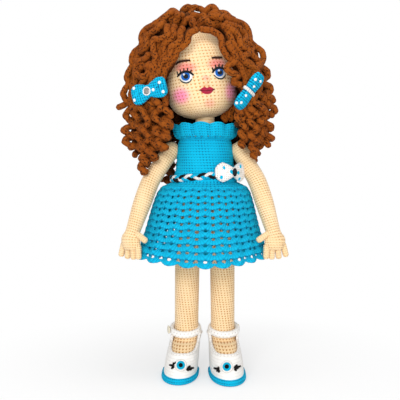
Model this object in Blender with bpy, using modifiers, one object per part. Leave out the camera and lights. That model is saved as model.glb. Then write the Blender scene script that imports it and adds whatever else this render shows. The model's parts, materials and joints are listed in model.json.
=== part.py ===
"""Amigurumi doll: a crocheted doll with corkscrew hair, a lace dress and strap shoes.

Units are metres, +Z is up and the doll faces -Y. Left and right are the doll's own, so
its left side is at +X. The origin is on the floor, under the middle of the whole doll.
"""

import math

import bmesh
import bpy
from mathutils import Matrix, Vector

# Clearances
GAP = 0.0003  # between pieces that touch
BORE_GAP = 0.0003  # round a cord or a dowel
OVERRUN = 0.012  # how far a cutter runs past what it cuts
WELD = 0.00001  # points closer than this are one point

# Hips and legs
HIP_AXIS_HEIGHT = 0.178
HIP_HALF_SPACING = 0.0184
HIP_SWING = math.radians(25)
LEG_RADIUS = 0.0125
LEG_CALF_SHARE = 0.5  # of the way down to the shoe, where the leg starts to narrow
ANKLE_SPREAD = 0.0034  # each leg leans out this far from hip to ankle
CROTCH_HALF_WIDTH = 0.0052
CROTCH_RADIUS = 0.0075
CORD_RADIUS = 0.0012
CORD_DEPTH_IN_LIMB = 0.0065

# Torso, as it stands under the dress
TORSO_HALF_WIDTH = 0.033
TORSO_DEPTH_SHARE = 0.8
NECK_ROOT_HEIGHT = 0.262
NECK_RADIUS = 0.010
CHIN_HEIGHT = 0.276
NECK_IN_HEAD = 0.008
DOWEL_RADIUS = 0.003
DOWEL_LENGTH = 0.062
TORSO_SHARES = (
    (0.485, 0.935), (0.70, 0.877), (0.81, 0.806), (0.836, 0.716), (0.818, 0.587),
    (0.87, 0.458), (0.945, 0.329), (1.0, 0.15), (0.99, 0.045), (0.955, 0.0),
)

# Dress
BODICE_THICKNESS = 0.0027
BODICE_ROWS_SHARE = 0.3  # height share of the torso where the bodice stops
SKIRT_THICKNESS = 0.0024
SKIRT_ABOVE_HIPS = 0.0292
SKIRT_SIDE_HEM_HEIGHT = 0.1315
SKIRT_HEM_DIP = 0.0065  # the hem hangs lower in front and behind than at the sides
SKIRT_HEM_RADIUS = 0.0665
SKIRT_SCALLOPS = 20
SKIRT_WAIST_SINK = 0.0004  # seats the waist on the torso's facets
SKIRT_FOLD = 0.0011
SCALLOP_DROP = 0.0022
SKIRT_SHARES = (
    (0.0, 1.0), (0.17, 0.968), (0.40, 0.90), (0.56, 0.70), (0.77, 0.30), (1.0, 0.0),
)
RUFFLE_RADIUS = 0.0345
RUFFLE_RISE = 0.0195
RUFFLE_BELOW_CHIN = 0.003
RUFFLE_SHARES = ((1.0, 1.0), (0.86, 0.60), (0.52, 0.22), (0.0, 0.0))
RUFFLE_THICKNESS = 0.0022
RUFFLE_SCALLOPS = 12
RUFFLE_WAVE = 0.0016
BELT_RADIUS = 0.0023
BELT_ABOVE_SKIRT = 0.0033
BELT_BOW_WING = 0.0185
BELT_BOW_HEIGHT = 0.021
BELT_BOW_THICKNESS = 0.005
BELT_BOW_AZIMUTH = math.radians(-45)
BELT_BOW_RISE = 0.0073  # bow middle above the belt
BELT_BOW_YAW = math.radians(54)
BELT_BOW_SWEEP_SHARE = 0.30  # backward share of the wings, as they follow the waist
BOW_PINCH_SHARE = 0.36  # height of a bow's middle
BOW_WING_SHARE = 0.8  # of the wing, over which the bow grows to its full height
BOW_PINCH_POWER = 1.2
BOW_FULLNESS_POWER = 4
BOW_MIDDLE_THICKNESS_SHARE = 0.7
BEAD_RADIUS = 0.0019
BEAD_HALF_HEIGHT = 0.0043

# Arms and hands
SHOULDER_HALF_SPACING = 0.0366
SHOULDER_HEIGHT = 0.2418
ARM_RADIUS = 0.0093
ARM_DROP = 0.0918  # shoulder to wrist
ARM_SPREAD_LEFT = 0.0362
ARM_SPREAD_RIGHT = 0.0410
ARM_FORWARD = 0.0240  # the wrist lies this far in front of the shoulder
ARM_ROUTE_SHARES = ((0, 0), (0.27, 0.18), (0.52, 0.36), (0.72, 0.60), (0.885, 0.83), (1, 1))
ARM_RADIUS_SHARES = (1.0, 1.0, 1.04, 1.04, 0.86, 0.82)
PALM_HALF_WIDTH = 0.0113
PALM_HALF_DEPTH = 0.0065
PALM_HALF_LENGTH = 0.0112
PALM_DROP = 0.0018  # palm centre below the wrist
FINGER_RADIUS = 0.0031
FINGER_LENGTH = 0.0128
THUMB_LENGTH = 0.0135
FINGER_SPREADS = tuple(math.radians(degrees) for degrees in (-2, -2, 5, 15))
FINGER_SHARES = ((-0.84, 0.62), (-0.27, 0.68), (0.31, 0.66), (0.87, 0.52))
THUMB_SHARES = (-0.75, -0.54)
THUMB_LEAN = math.radians(-58)
PALM_POWER = 3.4
HAND_YAWS = {1: math.radians(16), -1: math.radians(30)}

# Shoes and feet
SOLE_THICKNESS = 0.006
SOLE_EDGE = 0.0008  # the sole stands out past the upper
SHOE_RADIUS = 0.020
SHOE_WALL = 0.0024
FOOT_GAP = 0.0005  # between the foot and the shoe's wall
SHOE_RIM_HEIGHT = 0.0455
TOE_REACH = 0.0235  # how far the toe reaches past a round foot
TOE_TOP_HEIGHT = 0.038
TOE_OUT = math.radians(7)
SHOE_SHARES = ((1.0, 0.0), (0.985, 0.2), (0.93, 0.40), (0.85, 0.57), (0.765, 0.76), (0.735, 1.0))
VAMP_HALF_WIDTH = 0.0118
VAMP_EDGE_HEIGHT = 0.030
VAMP_FROM = 0.006  # in front of the ankle's middle
STRAP_THICKNESS = 0.0034
STRAP_BAND = 0.006
BUTTON_RADIUS = 0.0032
BUTTON_THICKNESS = 0.002
BUTTON_EDGE_SHARES = (0.8, 0.9)  # radius of its front and of its back
BUTTON_AZIMUTH = math.radians(-22)
EYE_RING_RADIUS = 0.0057
EYE_RING_THICKNESS = 0.0018
EYE_PUPIL_RADIUS = 0.0020
EYE_EDGE_SHARES = (0.85, 0.95)  # radius of its front and of its back
EYE_BEND_SHARE = 0.94  # of the shoe's radius, for the bend that follows the toe
EYE_SHARE = 0.545  # height share of the toe dome where the eye sits

# Head
HEAD_HALF_WIDTH = 0.0375
HEAD_HALF_DEPTH = 0.036
HEAD_RISE = 0.066
HEAD_DROP = 0.030
HEAD_TILT = math.radians(-6)
FACE_POWERS = (2.1, 2.3)  # fullness of the skull, and of the cheeks and chin
NOSE_RADIUS = 0.0042
NOSE_HEIGHT = 0.313
HEAD_TURN = math.radians(6.5)
HEAD_PIVOT_HEIGHT = 0.270
CAP_THICKNESS = 0.003
CAP_NAPE_HEIGHT = 0.292
FACE_HALF_WIDTH = 0.0355
FACE_TOP_HEIGHT = 0.3625
FACE_MIDDLE_HEIGHT = 0.298
FACE_FROM = 0.003  # the face opening starts this far in front of the ears

# Hair
HAIR_TOP_HEIGHT = 0.3845
HAIR_SIDE_HEIGHT = 0.2575
HAIR_RADIUS = 0.056
HAIR_INNER_RADIUS = 0.0435
HAIR_DEPTH_SHARE = 0.86
HAIR_FRONT_DEPTH_SHARE = 0.74
HAIR_SPREADS = {1: 1.04, -1: 1.24}
HAIR_BACK_FROM = 0.018
HAIR_FRONT_FROM = 0.006
HAIR_FRINGE_HEIGHT = 0.368
HAIR_FRONT_HALF_WIDTH = 0.0405
HAIR_CHIN_HEIGHT = 0.300
HAIR_PROFILE_SHARES = (
    (0.0, 1.0), (0.40, 0.985), (0.70, 0.92), (0.90, 0.78), (0.99, 0.60), (1.0, 0.40),
    (0.98, 0.20), (0.94, 0.0),
)
LOCK_RADIUS = 0.0031  # of the crocheted cord that a lock is made of
CURL_RADIUS = 0.0046  # of the helix that the cord follows
CURL_PITCH = 0.0115
CURLS_PER_LOCK = 3
STRAND_POINTS = 6
LOCK_CLEARANCE = 0.0009
LOCK_SINKS = (0, 0.0009, 0, 0, 0.0005)  # seats each lock on the facets below it
BACK_LOCK_SINKS = (0.0005, 0)
POINTS_PER_CURL = 8
CURL_START_SHARE = 0.6  # of a turn, in which the helix grows to its width
PATH_POINTS = 400
PATH_FINENESS = 20  # points measured for each one kept
PATH_STEP_SHARE = 0.01
HANGING_POINTS = 6
LOCK_AZIMUTHS = (-40, -17, 5, 27, 49)
LOCK_TAIL_HEIGHTS = (0.2235, 0.2215, 0.2385, 0.232, 0.224)
LOCK_ROOT_SHARES = (0.34, 0.31, 0.34, 0.31, 0.34)
BACK_LOCK_AZIMUTHS = (76, 104)
BACK_LOCK_TAIL_HEIGHT = 0.2165
BACK_LOCK_ROOT_SHARE = 0.33
TOP_LOCK_HALF_LENGTH = 0.025
TOP_LOCK_DEPTHS = (-0.017, 0.004)
TOP_LOCK_SINKS = (0.0022, 0.0009)  # how far each lies below the crown's height
TOP_LOCK_CURLS = 4
BOW_HALF_LENGTH = 0.0225
BOW_HEIGHT = 0.0225
BOW_THICKNESS = 0.006
GEM_RADIUS = 0.0042
PEARL_RADIUS = 0.0017
BAND_WIDTH = 0.0065
BAND_SHARES = (0.62, 0.30)  # half thickness and half height, of the bow's
BOW_AZIMUTH = -46
BOW_HEIGHT_SHARE = 0.753  # of the way down the hair
BOW_RIGHT_TILT = math.radians(22)
BOW_RIGHT_YAW = math.radians(-25)
BOW_LEFT_TILT = math.radians(54)
BOW_LEFT_TURN = math.radians(55)
BOW_LEFT_LIFT_SHARE = 0.36  # its lower edge sinks this much nearer to the locks
PEARL_SHARE = 0.27

# Sizes that follow from the ones above
TORSO_BOTTOM_HEIGHT = HIP_AXIS_HEIGHT + (LEG_RADIUS + GAP) * math.sin(HIP_SWING) + GAP
SHOE_BASE_HEIGHT = SOLE_THICKNESS + GAP
SKIRT_TOP_HEIGHT = HIP_AXIS_HEIGHT + SKIRT_ABOVE_HIPS
BELT_HEIGHT = SKIRT_TOP_HEIGHT + BELT_ABOVE_SKIRT
ANKLE_RADIUS = SHOE_RADIUS * SHOE_SHARES[-1][0] - SHOE_WALL - FOOT_GAP
HEAD_MIDDLE_HEIGHT = CHIN_HEIGHT + HEAD_DROP
NECK_TOP_HEIGHT = CHIN_HEIGHT + NECK_IN_HEAD

# Facets
BODY_STEPS = 24
LIMB_STEPS = 12
FINE_STEPS = 10
FINGER_STEPS = 8
SOCKET_STEPS = 16
STRAP_STEPS = 6
ARM_ROUNDNESS = 4
LOCK_ROUNDNESS = 1
SHARP_ANGLE = math.radians(40)

# Colours as they look in daylight, red, green and blue, with a roughness
FINISHES = {
    "skin": ((0.97, 0.88, 0.69), 0.9),
    "blue": ((0.05, 0.69, 0.85), 0.85),
    "deep_blue": ((0.04, 0.42, 0.80), 0.85),
    "white": ((0.93, 0.92, 0.90), 0.85),
    "cream": ((0.90, 0.86, 0.78), 0.6),
    "black": ((0.03, 0.03, 0.03), 0.5),
    "hair": ((0.50, 0.25, 0.07), 0.9),
    "wood": ((0.72, 0.56, 0.36), 0.6),
    "cord": ((0.85, 0.83, 0.78), 0.8),
    "gem": ((0.05, 0.25, 0.80), 0.1),
    "pearl": ((0.95, 0.94, 0.92), 0.2),
}


# Helpers


def make_collection(name, hidden=False):
    """Return a new collection in the scene."""
    group = bpy.data.collections.new(name)
    bpy.context.scene.collection.children.link(group)
    group.hide_render = hidden
    return group


def make_finish(name, finish):
    """Return a material of its own for one piece."""
    colour, roughness = FINISHES[finish]
    material = bpy.data.materials.new(name)
    material.use_nodes = True
    shader = material.node_tree.nodes["Principled BSDF"]
    linear = [channel**2.2 for channel in colour]
    shader.inputs["Base Color"].default_value = (*linear, 1)
    shader.inputs["Roughness"].default_value = roughness
    material.diffuse_color = (*linear, 1)
    return material


def add_piece(name, mesh, finish, parent):
    """Put a finished mesh into the doll as one named piece."""
    mesh.name = name
    mesh.materials.clear()
    mesh.materials.append(make_finish(name, finish))
    mesh.shade_smooth()
    mesh.set_sharp_from_angle(angle=SHARP_ANGLE)
    item = bpy.data.objects.new(name, mesh)
    PIECES.objects.link(item)
    item.parent = parent
    offset = Matrix.Translation(-Vector(JOINTS[parent.name]))
    mesh.transform(offset)
    return item


def add_joint(name, place, parent):
    """Add the empty that a moving body hangs on, at its joint's axis."""
    item = bpy.data.objects.new(name, None)
    PIECES.objects.link(item)
    item.parent = parent
    JOINTS[name] = place
    item.location = Vector(place) - Vector(JOINTS[parent.name] if parent else (0, 0, 0))
    return item


def scratch(mesh):
    """Return a hidden object that holds a mesh while a modifier works on it."""
    item = bpy.data.objects.new("cutter", mesh)
    CUTTERS.objects.link(item)
    item.hide_render = True
    item.display_type = "WIRE"
    return item


def evaluated(item):
    """Return the mesh that an object's modifiers make, and remove the object."""
    bpy.context.view_layer.update()
    graph = bpy.context.evaluated_depsgraph_get()
    mesh = bpy.data.meshes.new_from_object(item.evaluated_get(graph))
    bpy.data.objects.remove(item, do_unlink=True)
    return welded(mesh)


def welded(mesh):
    """Merge points that lie together and turn every face outwards."""
    form = bmesh.new()
    form.from_mesh(mesh)
    bmesh.ops.remove_doubles(form, verts=form.verts, dist=WELD)
    bmesh.ops.dissolve_degenerate(form, dist=WELD, edges=form.edges)
    bmesh.ops.recalc_face_normals(form, faces=form.faces)
    form.to_mesh(mesh)
    form.free()
    return mesh


def combined(mesh, other, operation):
    """Return the Boolean of two meshes."""
    item = scratch(mesh)
    tool = scratch(other)
    change = item.modifiers.new("change", "BOOLEAN")
    change.operation = operation
    change.solver = "EXACT"
    change.object = tool
    result = evaluated(item)
    bpy.data.objects.remove(tool, do_unlink=True)
    return result


def cut(mesh, other):
    """Return the mesh with another cut out of it."""
    return combined(mesh, other, "DIFFERENCE")


def joined(mesh, other):
    """Return the union of two meshes."""
    return combined(mesh, other, "UNION")


def grown(mesh, amount):
    """Return a copy of a mesh moved outwards along its normals."""
    form = bmesh.new()
    form.from_mesh(mesh)
    form.normal_update()
    moves = [vertex.normal * vertex.calc_shell_factor() * amount for vertex in form.verts]
    for vertex, move in zip(form.verts, moves):
        vertex.co += move
    copy = bpy.data.meshes.new("grown")
    form.to_mesh(copy)
    form.free()
    return copy


def cleared(mesh, larger):
    """Return the mesh cut back so that it clears a larger one by the gap."""
    return cut(mesh, grown(larger, GAP))


def moved(mesh, change):
    """Apply a matrix or a function of a point to every point of a mesh."""
    if isinstance(change, Matrix):
        mesh.transform(change)
        return mesh
    for vertex in mesh.vertices:
        vertex.co = change(vertex.co)
    return mesh


def ball(radius, steps=LIMB_STEPS, rings=None):
    """Return a sphere at the origin."""
    rings = rings or steps // 2
    form = bmesh.new()
    bmesh.ops.create_uvsphere(form, u_segments=steps, v_segments=rings, radius=radius)
    mesh = bpy.data.meshes.new("ball")
    form.to_mesh(mesh)
    form.free()
    return mesh


def rod(radius, length, axis, middle, steps=FINE_STEPS):
    """Return a cylinder along X, Y or Z."""
    turns = {"X": Matrix.Rotation(math.pi / 2, 4, "Y"), "Y": Matrix.Rotation(math.pi / 2, 4, "X")}
    form = bmesh.new()
    bmesh.ops.create_cone(
        form, cap_ends=True, segments=steps, radius1=radius, radius2=radius, depth=length
    )
    mesh = bpy.data.meshes.new("rod")
    form.to_mesh(mesh)
    form.free()
    mesh.transform(Matrix.Translation(middle) @ turns.get(axis, Matrix()))
    return mesh


def block(low, high):
    """Return a box between two corners."""
    form = bmesh.new()
    bmesh.ops.create_cube(form, size=1)
    mesh = bpy.data.meshes.new("block")
    form.to_mesh(mesh)
    form.free()
    low, high = Vector(low), Vector(high)
    size = Matrix.Diagonal((*(high - low), 1))
    mesh.transform(Matrix.Translation((low + high) / 2) @ size)
    return mesh


def turned(profile, steps, ring=False):
    """Turn a profile of (radius, height) points round the Z axis, outer side downwards."""
    edges = [(index, index + 1) for index in range(len(profile) - 1)]
    if ring:
        edges.append((len(profile) - 1, 0))
    mesh = bpy.data.meshes.new("profile")
    mesh.from_pydata([(radius, 0, height) for radius, height in profile], edges, [])
    item = scratch(mesh)
    screw = item.modifiers.new("turn", "SCREW")
    screw.steps = steps
    screw.render_steps = steps
    screw.use_merge_vertices = True
    screw.merge_threshold = WELD
    return evaluated(item)


def tube(points, radius, resolution, shares=None):
    """Return a tube along points, with closed ends and a radius share at each point."""
    curve = bpy.data.curves.new("tube", "CURVE")
    curve.dimensions = "3D"
    curve.bevel_depth = radius
    curve.bevel_resolution = resolution
    curve.use_fill_caps = True
    curve.render_resolution_u = 0
    line = curve.splines.new("POLY")
    line.points.add(len(points) - 1)
    for index, point in enumerate(points):
        line.points[index].co = (*point, 1)
        line.points[index].radius = shares[index] if shares else 1
    return evaluated(scratch(curve))


def between(values, share):
    """Read a smooth curve through values, numbers or vectors, at a share of its length."""
    place = min(max(share, 0), 1) * (len(values) - 1)
    index = min(int(place), len(values) - 2)
    part = place - index
    first = values[max(index - 1, 0)]
    start, end = values[index], values[index + 1]
    last = values[min(index + 2, len(values) - 1)]
    bend = (end - first) * (part - 2 * part**2 + part**3) / 2
    swing = (last - start) * (part**3 - part**2) / 2
    blend = 3 * part**2 - 2 * part**3
    return start * (1 - blend) + end * blend + bend + swing


def offset_profile(profile, amount):
    """Move a profile of (radius, height) points outwards, square to itself."""
    points = [Vector(point) for point in profile]
    result = []
    for index, point in enumerate(points):
        before = points[max(index - 1, 0)]
        after = points[min(index + 1, len(points) - 1)]
        along = (after - before).normalized()
        result.append((point.x - along.y * amount, point.y + along.x * amount))
    return result


def shell_profile(profile, inner, outer):
    """Return the closed outline of a shell that lies outside a profile."""
    return offset_profile(profile, outer) + offset_profile(profile, inner)[::-1]


def flattened(mesh, share):
    """Make a turned mesh less deep than it is wide."""
    return moved(mesh, Matrix.Diagonal((1, share, 1, 1)))


# Torso and dress


def torso_profile():
    """Return the side of the torso, from the shoulders down."""
    rise = NECK_ROOT_HEIGHT - TORSO_BOTTOM_HEIGHT
    return [
        (TORSO_HALF_WIDTH * wide, TORSO_BOTTOM_HEIGHT + rise * high)
        for wide, high in TORSO_SHARES
    ]


def torso_radius(height):
    """Return the torso's half width at a height."""
    profile = torso_profile()
    for upper, lower in zip(profile, profile[1:]):
        if lower[1] <= height <= upper[1]:
            share = (height - lower[1]) / (upper[1] - lower[1])
            return lower[0] + (upper[0] - lower[0]) * share
    return profile[-1][0]


def flat_below_neck(point):
    """Flatten the torso and leave the neck round."""
    share = 1 if point.z > NECK_ROOT_HEIGHT - WELD else TORSO_DEPTH_SHARE
    return Vector((point.x, point.y * share, point.z))


def cord_bore(half_spacing, height):
    """Return the cutter for a cord that runs across the doll."""
    length = 2 * (half_spacing + CORD_DEPTH_IN_LIMB + BORE_GAP)
    return rod(CORD_RADIUS + BORE_GAP, length, "X", (0, 0, height))


def build_torso(body):
    """Add the stuffed torso with its neck, crotch, sockets and bores."""
    neck = [(0, NECK_TOP_HEIGHT), (NECK_RADIUS, NECK_TOP_HEIGHT), (NECK_RADIUS, NECK_ROOT_HEIGHT)]
    mesh = turned(neck + torso_profile() + [(0, TORSO_BOTTOM_HEIGHT)], BODY_STEPS)
    mesh = moved(mesh, flat_below_neck)
    width = 2 * CROTCH_HALF_WIDTH
    mesh = joined(mesh, rod(CROTCH_RADIUS, width, "X", (0, 0, HIP_AXIS_HEIGHT)))
    mesh = cut(mesh, cord_bore(HIP_HALF_SPACING, HIP_AXIS_HEIGHT))
    mesh = cut(mesh, cord_bore(SHOULDER_HALF_SPACING, SHOULDER_HEIGHT))
    for side in (1, -1):
        mesh = cut(mesh, socket(side, LEG_RADIUS, HIP_HALF_SPACING, HIP_AXIS_HEIGHT))
        mesh = cut(mesh, socket(side, ARM_RADIUS, SHOULDER_HALF_SPACING, SHOULDER_HEIGHT))
    bore_depth = NECK_TOP_HEIGHT - dowel_foot()
    middle = NECK_TOP_HEIGHT - bore_depth / 2 - GAP / 2 + OVERRUN / 2
    bore = rod(DOWEL_RADIUS + BORE_GAP, bore_depth + GAP + OVERRUN, "Z", (0, 0, middle))
    add_piece("torso", cut(mesh, bore), "skin", body)


def dowel_foot():
    """Return the height of the neck dowel's lower end, just above the shoulder cord."""
    return SHOULDER_HEIGHT + CORD_RADIUS + DOWEL_RADIUS


def socket(side, radius, half_spacing, height):
    """Return the ball that clears room for the round top of a limb."""
    mesh = ball(radius + 2 * GAP, SOCKET_STEPS)
    mesh.transform(Matrix.Translation((side * half_spacing, 0, height)))
    return mesh


def build_cords(body):
    """Add the neck dowel and the two cords that the limbs swing on."""
    middle = dowel_foot() + DOWEL_LENGTH / 2
    add_piece("neck_dowel", rod(DOWEL_RADIUS, DOWEL_LENGTH, "Z", (0, 0, middle)), "wood", body)
    for name, spacing, height in (
        ("shoulder_cord", SHOULDER_HALF_SPACING, SHOULDER_HEIGHT),
        ("hip_cord", HIP_HALF_SPACING, HIP_AXIS_HEIGHT),
    ):
        length = 2 * (spacing + CORD_DEPTH_IN_LIMB)
        add_piece(name, rod(CORD_RADIUS, length, "X", (0, 0, height)), "cord", body)


def build_bodice(body):
    """Add the bodice, a shell that follows the torso."""
    rows = [
        point for point, (_, high) in zip(torso_profile(), TORSO_SHARES) if high > BODICE_ROWS_SHARE
    ]
    outline = shell_profile(rows, GAP, GAP + BODICE_THICKNESS)
    mesh = flattened(turned(outline, BODY_STEPS, ring=True), TORSO_DEPTH_SHARE)
    mesh = cut(mesh, cord_bore(SHOULDER_HALF_SPACING, SHOULDER_HEIGHT))
    for side in (1, -1):
        mesh = cut(mesh, socket(side, ARM_RADIUS, SHOULDER_HALF_SPACING, SHOULDER_HEIGHT))
    add_piece("dress_bodice", mesh, "blue", body)


def build_ruffle(body):
    """Add the wavy collar that stands up from the bodice round the neck."""
    top = CHIN_HEIGHT - RUFFLE_BELOW_CHIN
    low = top - RUFFLE_RISE
    inner = torso_radius(low) + 2 * GAP + BODICE_THICKNESS + RUFFLE_THICKNESS
    reach = RUFFLE_RADIUS - inner
    profile = [(inner + reach * out, low + RUFFLE_RISE * high) for out, high in RUFFLE_SHARES]
    outline = shell_profile(profile, -RUFFLE_THICKNESS, 0)
    mesh = turned(outline, 4 * RUFFLE_SCALLOPS, ring=True)

    def wave(point):
        share = min(max((point.z - low) / RUFFLE_RISE, 0), 1)
        swell = math.cos(RUFFLE_SCALLOPS * math.atan2(point.y, point.x)) * share**2
        wide = 1 + RUFFLE_WAVE * swell / RUFFLE_RADIUS
        lift = RUFFLE_WAVE * swell
        return Vector((point.x * wide, point.y * wide * TORSO_DEPTH_SHARE, point.z + lift))

    add_piece("neck_ruffle", moved(mesh, wave), "blue", body)


def build_skirt(body):
    """Add the flared skirt, open below, with folds that end in scallops."""
    waist = torso_radius(SKIRT_TOP_HEIGHT) + SKIRT_THICKNESS - SKIRT_WAIST_SINK
    flare = SKIRT_HEM_RADIUS - waist
    fall = SKIRT_TOP_HEIGHT - SKIRT_SIDE_HEM_HEIGHT
    profile = [
        (waist + flare * out, SKIRT_SIDE_HEM_HEIGHT + fall * high) for out, high in SKIRT_SHARES
    ]
    outline = shell_profile(profile, -SKIRT_THICKNESS, 0)
    mesh = turned(outline, 4 * SKIRT_SCALLOPS, ring=True)

    def fold(point):
        angle = math.atan2(point.y, point.x)
        low = min(max((SKIRT_TOP_HEIGHT - point.z) / fall, 0), 1)
        swell = 1 + SKIRT_FOLD * low**2 * math.cos(SKIRT_SCALLOPS * angle) / SKIRT_HEM_RADIUS
        scallop = SCALLOP_DROP * low**6 * abs(math.cos(SKIRT_SCALLOPS * angle / 2))
        dip = SKIRT_HEM_DIP * low**2 * math.sin(angle) ** 2
        depth = swell * TORSO_DEPTH_SHARE
        return Vector((point.x * swell, point.y * depth, point.z - scallop - dip))

    add_piece("dress_skirt", moved(mesh, fold), "blue", body)


def build_belt(body):
    """Add the cord round the waist, and the bow with its bead beside the front."""
    radius = torso_radius(BELT_HEIGHT) + 2 * GAP + BODICE_THICKNESS + BELT_RADIUS
    angles = [math.tau * index / FINGER_STEPS for index in range(FINGER_STEPS)]
    outline = [
        (radius + BELT_RADIUS * math.cos(angle), BELT_HEIGHT - BELT_RADIUS * math.sin(angle))
        for angle in angles
    ]
    belt = flattened(turned(outline, BODY_STEPS, ring=True), TORSO_DEPTH_SHARE)
    add_piece("belt_cord", belt, "black", body)
    reach = radius + BELT_RADIUS + GAP + BELT_BOW_THICKNESS / 2
    place = Vector((
        reach * math.cos(BELT_BOW_AZIMUTH),
        reach * math.sin(BELT_BOW_AZIMUTH) * TORSO_DEPTH_SHARE - GAP,
        BELT_HEIGHT + BELT_BOW_RISE,
    ))
    mesh = bow(BELT_BOW_WING, BELT_BOW_HEIGHT, BELT_BOW_THICKNESS)

    def sweep(point):
        return Vector((point.x, point.y + abs(point.x) * BELT_BOW_SWEEP_SHARE, point.z))

    spot = Matrix.Translation(place) @ Matrix.Rotation(BELT_BOW_YAW, 4, "Z")
    mesh = cleared(moved(moved(mesh, sweep), spot), belt)
    bead = ball(1, FINE_STEPS)
    bead.transform(Matrix.Diagonal((BEAD_RADIUS, BEAD_RADIUS, BEAD_HALF_HEIGHT, 1)))
    bead.transform(spot @ Matrix.Translation((0, -BELT_BOW_THICKNESS / 2, 0)))
    add_piece("belt_bow_bead", cleared(bead, mesh), "black", body)
    add_piece("belt_bow", mesh, "white", body)


def bow(half_length, height, thickness):
    """Return a flat bow along X, drawn in at its middle."""
    mesh = ball(1, LIMB_STEPS, LIMB_STEPS)
    mesh.transform(Matrix.Rotation(math.pi / 2, 4, "Y"))
    mesh = rounded(mesh, BOW_FULLNESS_POWER)

    def shape(point):
        out = min(abs(point.x) / BOW_WING_SHARE, 1) ** BOW_PINCH_POWER
        share = BOW_PINCH_SHARE + (1 - BOW_PINCH_SHARE) * out
        swell = BOW_MIDDLE_THICKNESS_SHARE + (1 - BOW_MIDDLE_THICKNESS_SHARE) * share
        return Vector((
            point.x * half_length,
            point.y * thickness / 2 * swell,
            point.z * height / 2 * share,
        ))

    return moved(mesh, shape)


def rounded(mesh, power):
    """Make a ball of radius one fuller, as a superellipsoid."""

    def fill(point):
        size = (abs(point.x) ** power + abs(point.y) ** power + abs(point.z) ** power)
        return point * (point.length / size ** (1 / power))

    return moved(mesh, fill)


# Arms and hands


def arm_route(side):
    """Return the arm's middle line, from shoulder to wrist."""
    spread_out = ARM_SPREAD_LEFT if side > 0 else ARM_SPREAD_RIGHT
    return [
        Vector((
            side * (SHOULDER_HALF_SPACING + spread_out * out),
            -ARM_FORWARD * down,
            SHOULDER_HEIGHT - ARM_DROP * down,
        ))
        for out, down in ARM_ROUTE_SHARES
    ]


def capsule(radius, length):
    """Return a finger that hangs down from the origin, with round ends."""
    middle = length - radius
    angles = [math.radians(degrees) for degrees in (90, 45, 0, 0, -45, -90)]
    heights = (0, 0, 0, -middle + radius, -middle + radius, -middle + radius)
    profile = [
        (radius * max(math.cos(angle), 0), radius * math.sin(angle) + height)
        for angle, height in zip(angles, heights)
    ]
    profile[0] = (0, profile[0][1])
    profile[-1] = (0, profile[-1][1])
    return turned(profile, FINGER_STEPS)


def hand_spot(side):
    """Return the matrix that places the hand's own axes at the palm's middle."""
    middle = arm_route(side)[-1] - Vector((0, 0, PALM_DROP))
    return Matrix.Translation(middle) @ Matrix.Rotation(side * HAND_YAWS[side], 4, "Z")


def build_digit(name, side, shares, lean, length, arm, joint):
    """Add a finger or thumb, seated on the palm."""
    out, down = shares
    root = Vector((side * out * PALM_HALF_WIDTH, 0, -down * PALM_HALF_LENGTH))
    mesh = capsule(FINGER_RADIUS, length)
    turn = Matrix.Rotation(-side * lean, 4, "Y")
    mesh.transform(hand_spot(side) @ Matrix.Translation(root) @ turn)
    add_piece(name, cleared(mesh, arm), "skin", joint)


def build_arm(side, name, torso_joint):
    """Add one arm with its palm, thumb and fingers, hinged at the shoulder."""
    pivot = Vector((side * SHOULDER_HALF_SPACING, 0, SHOULDER_HEIGHT))
    joint = add_joint(f"shoulder_{name}_axis", pivot, torso_joint)
    route = arm_route(side)
    count = 2 * len(route)
    points = [between(route, index / (count - 1)) for index in range(count)]
    shares = [between(ARM_RADIUS_SHARES, index / (count - 1)) for index in range(count)]
    mesh = tube(points, ARM_RADIUS, ARM_ROUNDNESS, shares)
    shoulder = ball(ARM_RADIUS, LIMB_STEPS)
    shoulder.transform(Matrix.Translation(pivot))
    mesh = joined(mesh, shoulder)
    palm = rounded(ball(1, LIMB_STEPS), PALM_POWER)
    palm.transform(Matrix.Diagonal((PALM_HALF_WIDTH, PALM_HALF_DEPTH, PALM_HALF_LENGTH, 1)))
    palm.transform(hand_spot(side))
    mesh = joined(mesh, palm)
    bore = cord_bore(SHOULDER_HALF_SPACING, SHOULDER_HEIGHT)
    digits = zip(("index", "middle", "ring", "little"), FINGER_SHARES, FINGER_SPREADS)
    build_digit(f"thumb_{name}", side, THUMB_SHARES, THUMB_LEAN, THUMB_LENGTH, mesh, joint)
    for digit, shares, lean in digits:
        build_digit(f"finger_{digit}_{name}", side, shares, lean, FINGER_LENGTH, mesh, joint)
    add_piece(f"arm_{name}", cut(mesh, bore), "skin", joint)


# Legs and shoes


def shoe_profile():
    """Return the outer side of the shoe, as if its foot were round, from rim to sole."""
    rise = SHOE_RIM_HEIGHT - SHOE_BASE_HEIGHT
    return [
        (SHOE_RADIUS * wide, SHOE_BASE_HEIGHT + rise * high) for wide, high in SHOE_SHARES[::-1]
    ]


def toe_shift(height):
    """Return how far the toe's dome reaches past the round outline at a height."""
    share = max(height, SHOE_BASE_HEIGHT) / TOE_TOP_HEIGHT
    return TOE_REACH * math.sqrt(max(1 - share**2, 0))


def toed(point):
    """Draw the front half of a round foot out into a toe."""
    radius = math.hypot(point.x, point.y)
    front = max(-point.y / radius, 0) if radius > WELD else 0
    return Vector((point.x, point.y - toe_shift(point.z) * front, point.z))


def leg_spot(side):
    """Return the function that turns the toe out and leans the leg."""
    turn = Matrix.Rotation(side * TOE_OUT, 3, "Z")
    ankle = SHOE_RIM_HEIGHT

    def place(point):
        lean = min(max((HIP_AXIS_HEIGHT - point.z) / (HIP_AXIS_HEIGHT - ankle), 0), 1)
        spot = turn @ point
        spot.x += side * (HIP_HALF_SPACING + ANKLE_SPREAD * lean)
        return spot

    return place


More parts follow.
